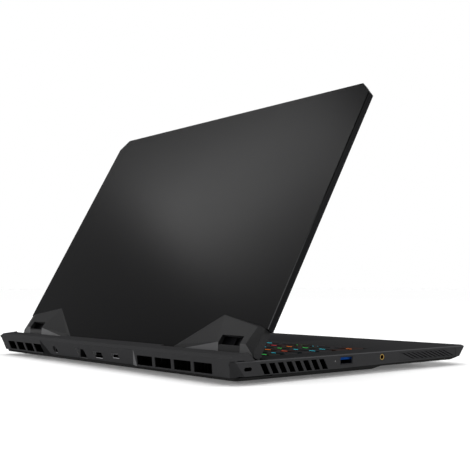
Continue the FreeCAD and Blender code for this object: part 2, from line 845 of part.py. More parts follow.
def make_rear_cover(cutters):
    body = new_body("rear_cover_body")
    foot_y = rear_wall_y(d.rear_foot_height)
    ceiling = rear_edge - d.shelf_skin
    profile = [
        (bay_front + d.seam_gap, d.trough_block_floor), (bay_front + d.seam_gap, d.deck_height),
        (d.hinge_y + d.trough_radius, d.deck_height), (d.shelf_front_y, d.shelf_height),
        (rear - d.shelf_crease_inset, d.shelf_height - d.shelf_crease_drop), (rear, rear_edge),
        (foot_y, d.rear_foot_height), (foot_y - d.rear_wall, d.rear_foot_height),
        (rear_wall_y(ceiling) - d.rear_wall, ceiling),
        (d.recess_foot_y + d.recess_rake + d.shelf_skin, ceiling), (d.cavity_front_y, d.cavity_ceiling),
        (d.cavity_front_y, d.trough_block_floor),
    ]
    pad(body, "rear_block", "YZ_Plane", profile, 0, d.base_width, symmetric=True)
    trough_half = lid_end + d.hinge_side_gap
    bore(body, "trough", "YZ_Plane", (d.hinge_y, d.hinge_z), d.trough_radius, 0, trough_half * 2,
         symmetric=True)
    high = d.shelf_height + d.cut_past
    recess = [(d.hinge_y, d.recess_floor), (d.recess_foot_y, d.recess_floor),
              (d.recess_foot_y + d.recess_rake, d.shelf_height),
              (d.recess_foot_y + d.recess_rake, high), (d.hinge_y, high)]
    below = rectangle(bay_front - d.cut_past, rear + d.cut_past, d.floor_height - d.cut_past,
                      d.deck_height + d.seam_gap)
    for name, side in sides.items():
        pocket(body, f"hinge_recess_{name}", "YZ_Plane", recess, d.recess_inner_x * side,
               trough_half - d.recess_inner_x, reverse=side > 0)
        pocket(body, f"end_clearance_{name}", "YZ_Plane", below, (bay_half - d.seam_gap) * side,
               d.end_wall + d.cut_past, reverse=side > 0)
        x0, x1 = mirrored(d.barrel_inner_x - d.bracket_clearance,
                          d.barrel_inner_x + d.barrel_length + d.bracket_clearance, side)
        pocket(body, f"bracket_slot_{name}", "XZ_Plane",
               rectangle(x0, x1, leaf_low - d.bracket_clearance, leaf_top + d.bracket_clearance),
               d.cut_past - bay_front, d.trough_wall + d.cut_past * 2)
    pocket(body, "port_bay", "YZ_Plane",
           rectangle(d.port_bay_front_y, d.cavity_front_y + d.inner_gap, d.rear_foot_height - d.cut_past,
                     d.cavity_ceiling),
           0, d.port_bay_half * 2, symmetric=True)
    out_x = half + d.cut_past
    end = [(half - d.shelf_bevel_run, d.shelf_height), (half, d.shelf_bevel_height),
           (out_x, d.shelf_bevel_height),
           (out_x, high), (half - d.shelf_bevel_run, high)]
    along = d.hinge_inset * 3
    pocket(body, "shelf_end_right", "XZ_Plane", end, -rear - d.cut_past, along, reverse=True)
    pocket(body, "shelf_end_left", "XZ_Plane", [(-a, b) for a, b in end], -rear - d.cut_past, along,
           reverse=True)
    wall_level = -d.cavity_front_y
    wall_run = d.cavity_inset + d.cut_past
    left_slot = [(-d.left_slot_start, slot_high), (-d.left_slot_start - d.left_slot_width, slot_high),
                 (-d.left_slot_start - d.left_slot_width + d.slot_lean, d.slot_low),
                 (-d.left_slot_start + d.slot_lean, d.slot_low)]
    slot = pocket(body, "left_slot", "XZ_Plane", left_slot, wall_level, wall_run)
    row_of(body, "left_slots", slot, "X_Axis", d.left_slot_pitch, rear_slot_count, reverse=True)
    right_slot = [(d.right_slot_start, slot_high), (d.right_slot_start + d.right_slot_width, slot_high),
                  (d.right_slot_start + d.right_slot_width - d.slot_lean, d.slot_low),
                  (d.right_slot_start - d.slot_lean, d.slot_low)]
    slot = pocket(body, "right_slot", "XZ_Plane", right_slot, wall_level, wall_run)
    row_of(body, "right_slots", slot, "X_Axis", d.right_slot_pitch, rear_slot_count)
    holes = {
        "network": (d.network_x, d.network_low + d.network_height / 2, d.network_width, d.network_height),
        "usb_c": (d.usb_c_x, d.usb_c_z, d.usb_c_width, d.usb_c_height),
    }
    for name, (x, z, wide, tall) in holes.items():
        a, b = wide / 2 + d.port_fit, tall / 2 + d.port_fit
        pocket(body, f"{name}_hole", "XZ_Plane", rectangle(x - a, x + a, z - b, z + b), wall_level, wall_run)
    pocket(body, "hdmi_hole", "XZ_Plane", hdmi_outline(d.port_fit), wall_level, wall_run)
    bore(body, "dc_hole", "XZ_Plane", (d.dc_x, d.dc_z), d.dc_radius + d.dc_ring + d.port_fit, wall_level,
         wall_run)
    sub_part("rear_cover", cut("rear_cover", body, port_recess_cutter(), *cutters))


def make_bottom_cover(cutters):
    body = new_body("bottom_cover_body")
    rear_y = rear - d.bottom_rear_inset
    front_y = front + d.bottom_front_inset
    step_rear_y = d.step_front_y + d.step_run
    rim = d.seam_height - d.seam_gap
    rear_rim = d.rear_foot_height - d.seam_gap
    profile = [(rear_y, rear_rim), (rear_y - d.tray_rear_lean, d.floor_height), (step_rear_y, d.floor_height),
               (d.step_front_y, front_floor), (front_y + d.bottom_front_run, front_floor),
               (front_y, seam_z(front_y) - d.seam_gap), (d.seam_break_y, rim), (bay_front, rim),
               (bay_front, rear_rim)]
    pad(body, "tray", "YZ_Plane", profile, 0, d.base_width - d.bottom_inset * 2, symmetric=True)
    high = d.seam_front_height + d.cut_past
    pocket(body, "tray_hollow", "XY_Plane",
           rectangle(-tray_half, tray_half, step_rear_y + d.overlap, rear_y - d.side_wall - d.tray_rear_lean),
           high, high - floor_top)
    room_front = front + d.front_solid + d.overlap
    room_side = front + d.tray_room - d.bottom_inset - d.tray_wall
    room_x = half - d.tray_room + d.front_solid + d.overlap
    room = [(-tray_half, step_rear_y + d.overlap * 2), (-tray_half, room_side), (-room_x, room_front),
            (room_x, room_front),
            (tray_half, room_side), (tray_half, step_rear_y + d.overlap * 2)]
    pocket(body, "front_hollow", "XY_Plane", room, high, high - rim)
    edge_x = half - d.bottom_inset
    low = d.floor_height - d.overlap
    lean = d.tray_bevel_run / (d.tray_bevel_top - d.floor_height)
    side_bevel = [(edge_x, d.tray_bevel_top), (edge_x + d.cut_past, d.tray_bevel_top),
                  (edge_x + d.cut_past, low),
                  (edge_x - lean * (d.tray_bevel_top - low), low)]
    along = d.base_depth + d.cut_past * 2
    pocket(body, "side_bevel_right", "XZ_Plane", side_bevel, -rear - d.cut_past, along, reverse=True)
    pocket(body, "side_bevel_left", "XZ_Plane", [(-a, b) for a, b in side_bevel], -rear - d.cut_past, along,
           reverse=True)
    for name, side in sides.items():
        x = d.fan_x * side
        first_y = d.fan_y - d.intake_slot_pitch * (d.intake_slot_count - 1) / 2
        slot = pocket(body, f"intake_slot_{name}", "XY_Plane",
                      rectangle(x - d.intake_slot_length / 2, x + d.intake_slot_length / 2,
                                first_y - d.intake_slot_width / 2, first_y + d.intake_slot_width / 2),
                      floor_top + d.overlap, d.floor_thickness + d.cut_past)
        row_of(body, f"intake_slots_{name}", slot, "Y_Axis", d.intake_slot_pitch,
               int(d.intake_slot_count.value))
    for i, (x, y, low) in enumerate(screw_places()):
        bore(body, f"screw_seat_{i}", "XY_Plane", (x, y), d.screw_head_radius + d.port_fit,
             low + d.screw_head_depth, d.screw_head_depth + d.cut_past)
        bore(body, f"screw_hole_{i}", "XY_Plane", (x, y), d.screw_shank_radius + d.port_fit,
             low + d.screw_length,
             d.screw_length + d.cut_past)
    sub_part("bottom_cover", cut("bottom_cover", body, *cutters))


def screw_places():
    """Centre and underside height of each bottom screw."""
    places = [(size(0), d.screw_mid_rear_y, d.floor_height), (size(0), d.screw_mid_front_y, front_floor)]
    pairs = [(d.screw_rear_x, d.screw_rear_y, d.floor_height),
             (d.screw_waist_x, d.screw_waist_y, d.floor_height),
             (d.screw_front_x, d.screw_front_y, front_floor)]
    for x, y, low in pairs:
        places += [(x * side, y, low) for side in sides.values()]
    return places


def make_screws():
    screws = []
    for i, (x, y, low) in enumerate(screw_places()):
        head = cylinder(f"screw_head_{i}", "z", (x, y, low), d.screw_head_radius, d.screw_head_depth)
        shank = cylinder(f"screw_shank_{i}", "z", (x, y, low), d.screw_shank_radius, d.screw_length)
        screws.append(fuse(f"screw_{i}", head, shank))
    sub_part("bottom_screws", group("bottom_screws", screws))


def make_feet():
    feet = []
    rows = [("rear", rear - d.foot_inset, d.rear_foot_length, d.floor_height),
            ("front", front + d.foot_inset + d.bottom_front_inset, d.front_foot_length, front_floor)]
    for row, y, length, tall in rows:
        for name, side in sides.items():
            body = new_body(f"foot_{row}_{name}")
            x = d.foot_spread * side
            a, b, c = length / 2, d.foot_width / 2, d.foot_width / 4
            plan = [(x - a, y - c), (x - a + c, y - b), (x + a - c, y - b), (x + a, y - c),
                    (x + a, y + c), (x + a - c, y + b), (x - a + c, y + b), (x - a, y + c)]
            pad(body, f"foot_pad_{row}_{name}", "XY_Plane", plan, 0, tall)
            feet.append(body)
    sub_part("rubber_feet", group("rubber_feet", feet))


def make_keyboard():
    """Hollow caps over guide posts that stand on the plate, row by row."""
    caps = {}
    posts = []

    def cap(units, depth):
        key = (units, depth.text)
        if key not in caps:
            wide = d.key_unit * units - d.key_gap
            name = f"cap_{len(caps)}"
            outer = doc.addObject("Part::Wedge", name + "_outer")
            bind(outer, Xmin=-wide / 2, Xmax=wide / 2, Ymin=0, Ymax=d.key_height, Zmin=-depth / 2,
                 Zmax=depth / 2,
                 X2min=d.key_taper - wide / 2, X2max=wide / 2 - d.key_taper,
                 Z2min=d.key_taper - depth / 2, Z2max=depth / 2 - d.key_taper)
            outer.Placement = Placement(Vector(), Rotation(Vector(1, 0, 0), 90))
            a, b = wide / 2 - d.key_wall, depth / 2 - d.key_wall
            hollow = box(name + "_hollow", -a, a, -b, b, -d.overlap, d.key_height - d.key_roof)
            caps[key] = cut(name, outer, hollow)
        return caps[key]

    def key_at(label, units, depth, left, y):
        wide = d.key_unit * units
        x = left + wide / 2
        link = doc.addObject("App::Link", label)
        link.LinkedObject = cap(units, depth)
        bind(link, Placement_of_Base_of_x=x, Placement_of_Base_of_y=y, Placement_of_Base_of_z=skirt_low)
        a = wide / 2 - d.key_gap / 2 - d.key_wall - d.key_play
        b = depth / 2 - d.key_wall - d.key_play
        posts.append(box(label + "_post", x - a, x + a, y - b, y + b, plate_top, post_top))
        return link

    for i, widths in enumerate(row_widths):
        depth = d.function_depth if i == 0 else d.key_row_pitch - d.key_gap
        y = d.keyboard_rear - d.function_depth / 2
        if i > 0:
            y = d.keyboard_rear - d.function_depth - d.key_row_pitch * (i - 0.5) - d.key_gap / 2
        left = -keyboard_half
        keys = []
        for j, units in enumerate(widths):
            keys.append(key_at(f"key_{i}_{j}", units, depth, left, y))
            left = left + d.key_unit * units
        sub_part(f"key_row_{i + 1}", group(f"key_row_{i + 1}", keys))
        if i == 0:
            power = key_at("power_key", 1, depth, left, y)
            sub_part("power_button", group("power_button", [power]))
    out_x = well_half + d.keyboard_rim
    out_front, out_rear = well_front - d.keyboard_rim, well_rear + d.keyboard_rim
    slab = box("plate_slab", -out_x, out_x, out_front, out_rear, plate_low, deck_under)
    sunk = box("plate_sunk", -well_half, well_half, well_front, well_rear, plate_top, deck_under + d.overlap)
    sub_part("keyboard_plate", fuse("keyboard_plate", cut("plate_tray", slab, sunk), *posts))


def make_touchpad():
    a = d.touchpad_width / 2
    top = d.deck_height - d.touchpad_sink
    low = top - d.touchpad_thickness
    front_y = d.touchpad_rear - d.touchpad_depth
    sub_part("touchpad", box("touchpad", -a, a, front_y, d.touchpad_rear, low, top))
    b = a + d.bracket_margin
    seat = low - d.touchpad_travel
    slab = box("bracket_slab", -b, b, front_y - d.bracket_margin, d.touchpad_rear + d.bracket_margin,
               seat - d.bracket_plate, deck_under)
    c = a + d.touchpad_gap
    sunk = box("bracket_sunk", -c, c, front_y - d.touchpad_gap, d.touchpad_rear + d.touchpad_gap, seat,
               deck_under + d.overlap)
    sub_part("touchpad_bracket", cut("touchpad_bracket", slab, sunk))


def usb_socket(name, y, side):
    """A shell with a tongue under its roof, its mouth flush with the side wall."""
    a, b, s = d.usb_width / 2, d.usb_height / 2, d.usb_shell
    deep = half - d.usb_depth
    roof = d.usb_z + b - s
    x0, x1 = mirrored(deep, half - d.port_fit, side)
    shell = box(name + "_shell", x0, x1, y - a, y + a, d.usb_z - b, d.usb_z + b)
    m0, m1 = mirrored(deep + d.socket_back, half + d.overlap, side)
    mouth = box(name + "_mouth", m0, m1, y - a + s, y + a - s, d.usb_z - b + s, roof)
    t0, t1 = mirrored(deep + d.overlap, half - d.socket_back, side)
    tongue = box(name + "_tongue", t0, t1, y - a + d.usb_tongue_side, y + a - d.usb_tongue_side,
                 roof - d.usb_tongue, roof)
    return fuse(name, cut(name + "_open", shell, mouth), tongue)


def make_side_ports():
    sub_part("usb_a_left", usb_socket("usb_a_left", d.usb_y, -1))
    pair = [usb_socket(f"usb_a_right_{i}", d.right_usb_first_y + d.right_usb_pitch * i, 1) for i in range(2)]
    sub_part("usb_a_right", group("usb_a_right", pair))
    inner_x = -half + d.side_wall + d.port_fit
    b = d.jack_block / 2
    block = box("jack_block", inner_x, -half + d.jack_depth, d.jack_y - b, d.jack_y + b,
                d.jack_z - d.usb_height / 2, d.jack_z + d.jack_ring)
    ring = cylinder("jack_ring", "x", (-half + d.port_fit, d.jack_y, d.jack_z), d.jack_ring,
                    d.side_wall + d.overlap)
    hole = cylinder("jack_hole", "x", (-half - d.overlap, d.jack_y, d.jack_z), d.jack_bore,
                    d.jack_depth + d.overlap * 2)
    sub_part("audio_jack", cut("audio_jack", fuse("jack_solid", block, ring), hole))
    sub_part("status_light", cylinder("status_light", "x", (-half + d.port_fit / 2, d.status_y, d.usb_z),
                                      d.status_radius - d.port_fit / 2, d.side_wall + d.overlap * 2))
    board_top = d.usb_z - d.usb_height / 2
    board_low = board_top - d.board_thickness
    x_in, x_out = half - d.port_board_width, half - d.side_wall - d.speaker_gap
    left = box("left_port_board", -x_out, -x_in, d.jack_y - d.port_board_margin,
               d.status_y + d.jack_block / 2,
               board_low, board_top)
    sub_part("left_port_board", left)
    last_y = d.right_usb_first_y + d.right_usb_pitch
    right = box("right_port_board", x_in, x_out, last_y - d.port_board_margin,
                d.right_usb_first_y + d.port_board_margin, board_low, board_top)
    sub_part("right_port_board", right)


def make_speakers():
    gap = d.port_fit / 2
    low, high = d.grille_low + gap, d.grille_high - gap
    slot_top, slot_bottom = high - d.grille_margin, low + d.grille_margin
    start = d.grille_rear - d.grille_start
    for name, side in sides.items():
        x0, x1 = mirrored(half - d.side_wall, half - d.port_fit, side)
        body = new_body(f"speaker_grille_{name}_body")
        pad(body, f"grille_plate_{name}", "YZ_Plane",
            rectangle(d.grille_front + gap, d.grille_rear - gap, low, high), x0, x1 - x0)
        slot = [(start, slot_top), (start - d.grille_slot, slot_top),
                (start - d.grille_slot - d.grille_lean, slot_bottom), (start - d.grille_lean, slot_bottom)]
        first = pocket(body, f"grille_slot_{name}", "YZ_Plane", slot, 0, d.base_width + d.cut_past,
                       symmetric=True)
        row_of(body, f"grille_slots_{name}", first, "Y_Axis", d.grille_pitch, int(d.grille_count.value),
               reverse=True)
        sub_part(f"speaker_grille_{name}", body)
        out_x = half - d.side_wall - d.speaker_gap
        a0, a1 = mirrored(out_x - d.speaker_width, out_x, side)
        case = box(f"speaker_case_{name}", a0, a1, d.grille_front + d.speaker_inset,
                   d.grille_rear - d.speaker_inset,
                   d.seam_front_height + d.speaker_gap, deck_under - d.inner_gap)
        b0, b1 = mirrored(out_x - d.speaker_mouth, out_x + d.overlap, side)
        rim = d.speaker_inset * 3
        mouth = box(f"speaker_mouth_{name}", b0, b1, d.grille_front + rim, d.grille_rear - rim, slot_bottom,
                    slot_top)
        sub_part(f"speaker_{name}", cut(f"speaker_{name}", case, mouth))


def make_rear_ports():
    """Sockets that stand on the rear port board, each open to the recessed rear wall."""
    back = d.port_bay_front_y + d.inner_gap
    deep = back + d.socket_back
    board_low = floor_top + d.inner_gap
    board_top = board_low + d.board_thickness
    board = box("rear_port_board", d.port_recess_left + d.stand_depth,
                d.port_recess_right - d.stand_depth / 2, back,
                rear_wall_y(board_top) - d.rear_wall - d.inner_gap, board_low, board_top)
    sub_part("rear_port_board", board)

    def socket(name, x, z, wide, tall, wall):
        a, b = wide / 2, tall / 2
        front_y = port_face(z - b) - d.port_fit
        shell = box(name + "_shell", x - a, x + a, back, front_y, z - b, z + b)
        mouth = box(name + "_mouth", x - a + wall, x + a - wall, deep, front_y + d.overlap, z - b + wall,
                    z + b - wall)
        return cut(name + "_open", shell, mouth)

    def stand(name, x, z, wide, tall):
        a = wide / 2 - d.hdmi_corner
        return box(name + "_stand", x - a, x + a, back, back + d.stand_depth, board_top,
                   z - tall / 2 + d.usb_shell / 2)

    def tongue(name, x, z, wide, tall):
        a, b = wide * d.tongue_share, tall / 2
        return box(name + "_tongue", x - a, x + a, back + d.overlap, port_face(z) - d.socket_back, z - b,
                   z + b)

    network_z = d.network_low + d.network_height / 2
    sub_part("network_port", socket("network", d.network_x, network_z, d.network_width, d.network_height,
                                    d.network_wall))
    x, z, wide, tall = d.hdmi_x, d.hdmi_z, d.hdmi_width, d.hdmi_height
    hdmi = new_body("hdmi_body")
    run = port_face(z - tall / 2) - d.port_fit - back
    pad(hdmi, "hdmi_shell", "XZ_Plane", hdmi_outline(0), -back, run, reverse=True)
    pocket(hdmi, "hdmi_mouth", "XZ_Plane", hdmi_outline(-d.usb_shell), -deep, run)
    sub_part("hdmi_port", fuse("hdmi_port", hdmi, stand("hdmi", x, z, wide, tall),
                               tongue("hdmi", x, z, wide, d.hdmi_tongue)))
    x, z, wide, tall = d.usb_c_x, d.usb_c_z, d.usb_c_width, d.usb_c_height
    sub_part("usb_c_port", fuse("usb_c_port", socket("usb_c", x, z, wide, tall, d.usb_shell),
                                stand("usb_c", x, z, wide, tall),
                                tongue("usb_c", x, z, wide, d.usb_c_tongue)))
    radius = d.dc_radius + d.dc_ring
    barrel = cylinder("dc_barrel", "y", (d.dc_x, back, d.dc_z), radius, port_face(d.dc_z - radius) - back)
    hollow = cylinder("dc_hollow", "y", (d.dc_x, deep, d.dc_z), d.dc_radius, d.port_bay_inset)
    pin = cylinder("dc_pin", "y", (d.dc_x, back + d.overlap, d.dc_z), d.dc_pin,
                   port_face(d.dc_z) - back - d.socket_back * 2)
    foot = box("dc_stand", d.dc_x - d.dc_radius, d.dc_x + d.dc_radius, back, deep, board_top, d.dc_z)
    sub_part("dc_jack", fuse("dc_jack", cut("dc_open", barrel, hollow), pin, foot))


def make_inside():
    gap = d.inner_gap
    board_top = plate_low - gap
    board_low = board_top - d.board_thickness
    b = d.mainboard_half
    slab = box("mainboard_slab", -b, b, d.mainboard_front, d.mainboard_rear, board_low, board_top)
    notch = box("mainboard_notch", -b - d.overlap, -b + d.notch_width, d.mainboard_front - d.overlap,
                d.mainboard_front + d.notch_depth,
                board_low - d.overlap, board_top + d.overlap)
    sub_part("mainboard", cut("mainboard", slab, notch))
    under = board_low - gap
    plate_low_z = under - d.cold_plate_thickness
    plate_rear = d.mainboard_rear - d.cold_plate_margin
    plate_front = plate_rear - d.cold_plate_depth
    plates = []
    for name, side in sides.items():
        x0, x1 = mirrored(d.cold_plate_start, d.cold_plate_start + d.cold_plate_width, side)
        plates.append(box(f"cold_plate_{name}", x0, x1, plate_front, plate_rear, plate_low_z, under))
    sub_part("cold_plates", group("cold_plates", plates))
    pipe_low = plate_low_z - gap - d.pipe_thickness
    far_x = d.fan_x + d.fan_half + d.pipe_width / 2
    pipes = []
    for name, side in sides.items():
        starts = [(d.pipe_first_x, d.pipe_first_y), (d.pipe_second_x, d.pipe_second_y)]
        for i, (x0, turn_y) in enumerate(starts):
            body = new_body(f"heat_pipe_{name}_{i}")
            x1, y1 = x0 + d.pipe_width, turn_y + d.pipe_width
            pipe_front = plate_front + d.cold_plate_margin
            plan = [(x0, pipe_front), (x1, pipe_front), (x1, turn_y), (far_x, turn_y), (far_x, y1),
                    (x0 + d.pipe_width / 2, y1), (x0, y1 - d.pipe_width / 2)]
            pad(body, f"heat_pipe_run_{name}_{i}", "XY_Plane", [(a * side, b) for a, b in plan], pipe_low,
                d.pipe_thickness)
            pipes.append(body)
    sub_part("heat_pipes", group("heat_pipes", pipes))
    make_fins(pipe_low)
    make_battery()
    first_y = d.mainboard_front + d.card_margin

    def card(name, x0, x1, y, depth):
        chips_low = under - d.card_thickness - d.chip_height
        board = box(f"{name}_board", x0, x1, y, y + depth, under - d.card_thickness, under)
        chips = box(f"{name}_chips", x0 + d.chip_margin, x1 - d.chip_margin, y + d.card_margin,
                    y + depth - d.card_margin, chips_low, under - d.card_thickness)
        return fuse(name, board, chips)

    sub_part("ssd", card("ssd", b * d.ssd_left_share, b * d.ssd_right_share, first_y, d.ssd_depth))
    sticks = []
    for i in range(memory_count):
        sticks.append(card(f"memory_{i}", b * d.memory_left_share, b * d.memory_right_share,
                           first_y + d.memory_pitch * i, d.memory_depth))
    sub_part("memory_modules", group("memory_modules", sticks))
    card_y = first_y + d.notch_depth + d.card_margin
    sub_part("wireless_card", card("wireless_card", b * d.wireless_left_share, b * d.wireless_right_share,
                                   card_y, d.memory_depth))


def make_battery():
    wide = d.battery_width / 2
    low = d.seam_height + d.inner_gap
    front_y = d.battery_rear - d.battery_depth
    cells = [box("battery_frame", -wide, wide, front_y, d.battery_rear, low, low + d.battery_tray)]
    pitch = d.battery_width / cell_count
    for i in range(cell_count):
        left = -wide + pitch * i
        cells.append(box(f"battery_cell_{i}", left + d.cell_gap, left + pitch - d.cell_gap,
                         front_y + d.cell_gap, d.battery_rear - d.battery_tab,
                         low, low + d.battery_height))
    sub_part("battery", fuse("battery", *cells))


def make_fins(pipe_low):
    """Cooling fins behind the exhaust slots, on a foot that the heat pipes lie on."""
    foot_top = pipe_low - d.inner_gap
    foot_low = floor_top + d.inner_gap
    high = d.cavity_ceiling - d.fin_headroom
    y0 = d.cavity_front_y + d.speaker_gap
    y1 = rear_wall_y(d.rear_foot_height) - d.rear_wall - d.speaker_gap
    start, stop = d.port_bay_half + d.pipe_width, half - d.fin_end
    side_y0, side_y1 = d.fan_y - d.fin_reach, bay_front - d.socket_back
    for name, side in sides.items():
        a0, a1 = mirrored(start, stop, side)
        fins = [box(f"rear_fin_foot_{name}", a0, a1, d.pipe_second_y, y1, foot_low, foot_top)]
        for i in range(int((stop.value - start.value) / d.fin_pitch.value)):
            c0, c1 = mirrored(start + d.fin_pitch * i, start + d.fin_pitch * i + d.fin_thickness, side)
            fins.append(box(f"rear_fin_{name}_{i}", c0, c1, y0, y1, foot_low, high))
        sub_part(f"rear_fins_{name}", fuse(f"rear_fins_{name}", *fins))
        s0, s1 = mirrored(stop - d.overlap, tray_half - d.speaker_gap, side)
        fins = [box(f"side_fin_foot_{name}", s0, s1, side_y0, side_y1, foot_low, foot_top)]
        for i in range(int((side_y1.value - side_y0.value) / d.fin_pitch.value)):
            y = side_y0 + d.fin_pitch * i
            fins.append(box(f"side_fin_{name}_{i}", s0, s1, y, y + d.fin_thickness, foot_low, high))
        sub_part(f"side_fins_{name}", fuse(f"side_fins_{name}", *fins))


def make_fans():
    low, high = d.fan_floor, d.fan_floor + d.fan_height
    wheel_low, wheel_high = low + d.fan_skin + d.wheel_gap, high - d.fan_skin - d.wheel_gap
    for name, side in sides.items():
        x, y, a = d.fan_x * side, d.fan_y, d.fan_half
        case = box(f"fan_case_{name}", x - a, x + a, y - a, y + a, low, high)
        b = a - d.fan_clearance
        room = box(f"fan_room_{name}", x - b, x + b, y - b, y + a + d.overlap, low + d.fan_skin,
                   high - d.fan_skin)
        intake = cylinder(f"fan_intake_{name}", "z", (x, y, low - d.overlap), d.fan_intake,
                          d.fan_skin + d.overlap * 2)
        pin = cylinder(f"fan_pin_{name}", "z", (x, y, wheel_low), d.fan_pin_radius, high - wheel_low)
        opened = cut(f"fan_open_{name}", case, room, intake)
        sub_part(f"fan_housing_{name}", fuse(f"fan_housing_{name}", opened, pin))
        body = new_body(f"impeller_{name}_body")
        hub = new_sketch(body, f"hub_outline_{name}", "XY_Plane", 0)
        circle(hub, (0, 0), d.impeller_hub)
        feature(body, "Pad", f"hub_{name}", hub, wheel_high - wheel_low)
        disc = new_sketch(body, f"disc_outline_{name}", "XY_Plane", 0)
        circle(disc, (0, 0), d.impeller_disc)
        feature(body, "Pad", f"disc_{name}", disc, d.disc_thickness)
        t = d.blade_thickness / 2
        blade = pad(body, f"blade_{name}", "XY_Plane",
                    [(d.impeller_hub - d.overlap, -t), (d.impeller_radius, d.blade_sweep - t),
                     (d.impeller_radius, d.blade_sweep + t), (d.impeller_hub - d.overlap, t)], 0,
                     wheel_high - wheel_low)
        ring = body.newObject("PartDesign::PolarPattern", f"blades_{name}")
        ring.Originals = [blade]
        ring.Axis = (next(f for f in body.Origin.OriginFeatures if f.Role == "Z_Axis"), [""])
        ring.Angle = 360
        bind(ring, Occurrences=d.blade_count)
        body.Tip = ring
        bore(body, f"hub_bore_{name}", "XY_Plane", (0, 0), d.fan_pin_radius + d.shaft_clearance, d.fan_half,
             d.fan_half * 2)
        bind(body, Placement_of_Base_of_x=x, Placement_of_Base_of_y=y, Placement_of_Base_of_z=wheel_low)
        sub_part(f"impeller_{name}", body)


def make_hinges():
    inner_x, outer_x = d.barrel_inner_x, d.barrel_inner_x + d.barrel_length
    arm_x = outer_x + d.barrel_gap
    web_front = d.hinge_y - d.barrel_radius
    web_rear = web_front + d.bracket_web
    leaf_high = d.lid_outer - d.lid_skin - d.lid_seam / 2
    for name, side in sides.items():
        x0, x1 = mirrored(inner_x, outer_x, side)
        barrel = cylinder(f"barrel_{name}", "x", (x0, d.hinge_y, d.hinge_z), d.barrel_radius, d.barrel_length)
        web = box(f"web_{name}", x0, x1, web_front, web_rear, leaf_low, d.hinge_z)
        leaf = box(f"leaf_{name}", x0, x1, leaf_front, web_rear, leaf_low, leaf_top)
        hole = cylinder(f"barrel_bore_{name}", "x", (x0 - d.overlap, d.hinge_y, d.hinge_z),
                        d.shaft_radius + d.shaft_clearance, d.barrel_length + d.overlap * 2)
        solid = fuse(f"bracket_{name}", barrel, web, leaf)
        sub_part(f"hinge_bracket_{name}", cut(f"hinge_bracket_{name}", solid, hole))
        s0, s1 = mirrored(inner_x - d.overlap, outer_x + d.overlap, side)
        shaft = cylinder(f"shaft_{name}", "x", (s0, 0, 0), d.shaft_radius, s1 - s0)
        e0, e1 = mirrored(arm_x, arm_x + d.eye_length, side)
        eye = cylinder(f"eye_{name}", "x", (e0, 0, 0), d.barrel_radius, e1 - e0)
        link = box(f"arm_link_{name}", e0, e1, -d.barrel_radius, d.barrel_radius - d.overlap, 0, leaf_high)
        f0, f1 = mirrored(arm_x, arm_x + d.arm_leaf_width, side)
        flat = box(f"arm_leaf_{name}", f0, f1, -d.arm_leaf_length, 0, leaf_high - d.arm_leaf_thickness,
                   leaf_high)
        sub_part(f"hinge_arm_{name}", fuse(f"hinge_arm_{name}", shaft, eye, link, flat), turned=True)


# lid, drawn closed about the hinge axis: forward is -Y, the outer face is up

lid_half = d.lid_width / 2
cheek_high = d.cover_outer_u - d.cheek_drop
lid_reach = d.hinge_y + rear - d.lid_front_gap
panel_half = d.screen_width / 2 + d.panel_border / 2
panel_low_u = d.screen_low - d.panel_chin
panel_high_u = d.screen_low + d.screen_height + d.panel_border
panel_low_v = d.lid_inner + d.bezel_lip


def lid_outline():
    step_x = lid_end - d.cheek_width - d.lid_seam
    right = [(d.lid_tail_half, d.lid_tail), (d.lid_tail_half, -d.lid_low), (step_x, -d.lid_low),
             (step_x, -cheek_high - d.lid_seam), (lid_half, -cheek_high - d.lid_seam),
             (lid_half, d.lid_corner - lid_reach),
             (lid_half - d.lid_corner, -lid_reach)]
    return right + [(-a, b) for a, b in reversed(right)]


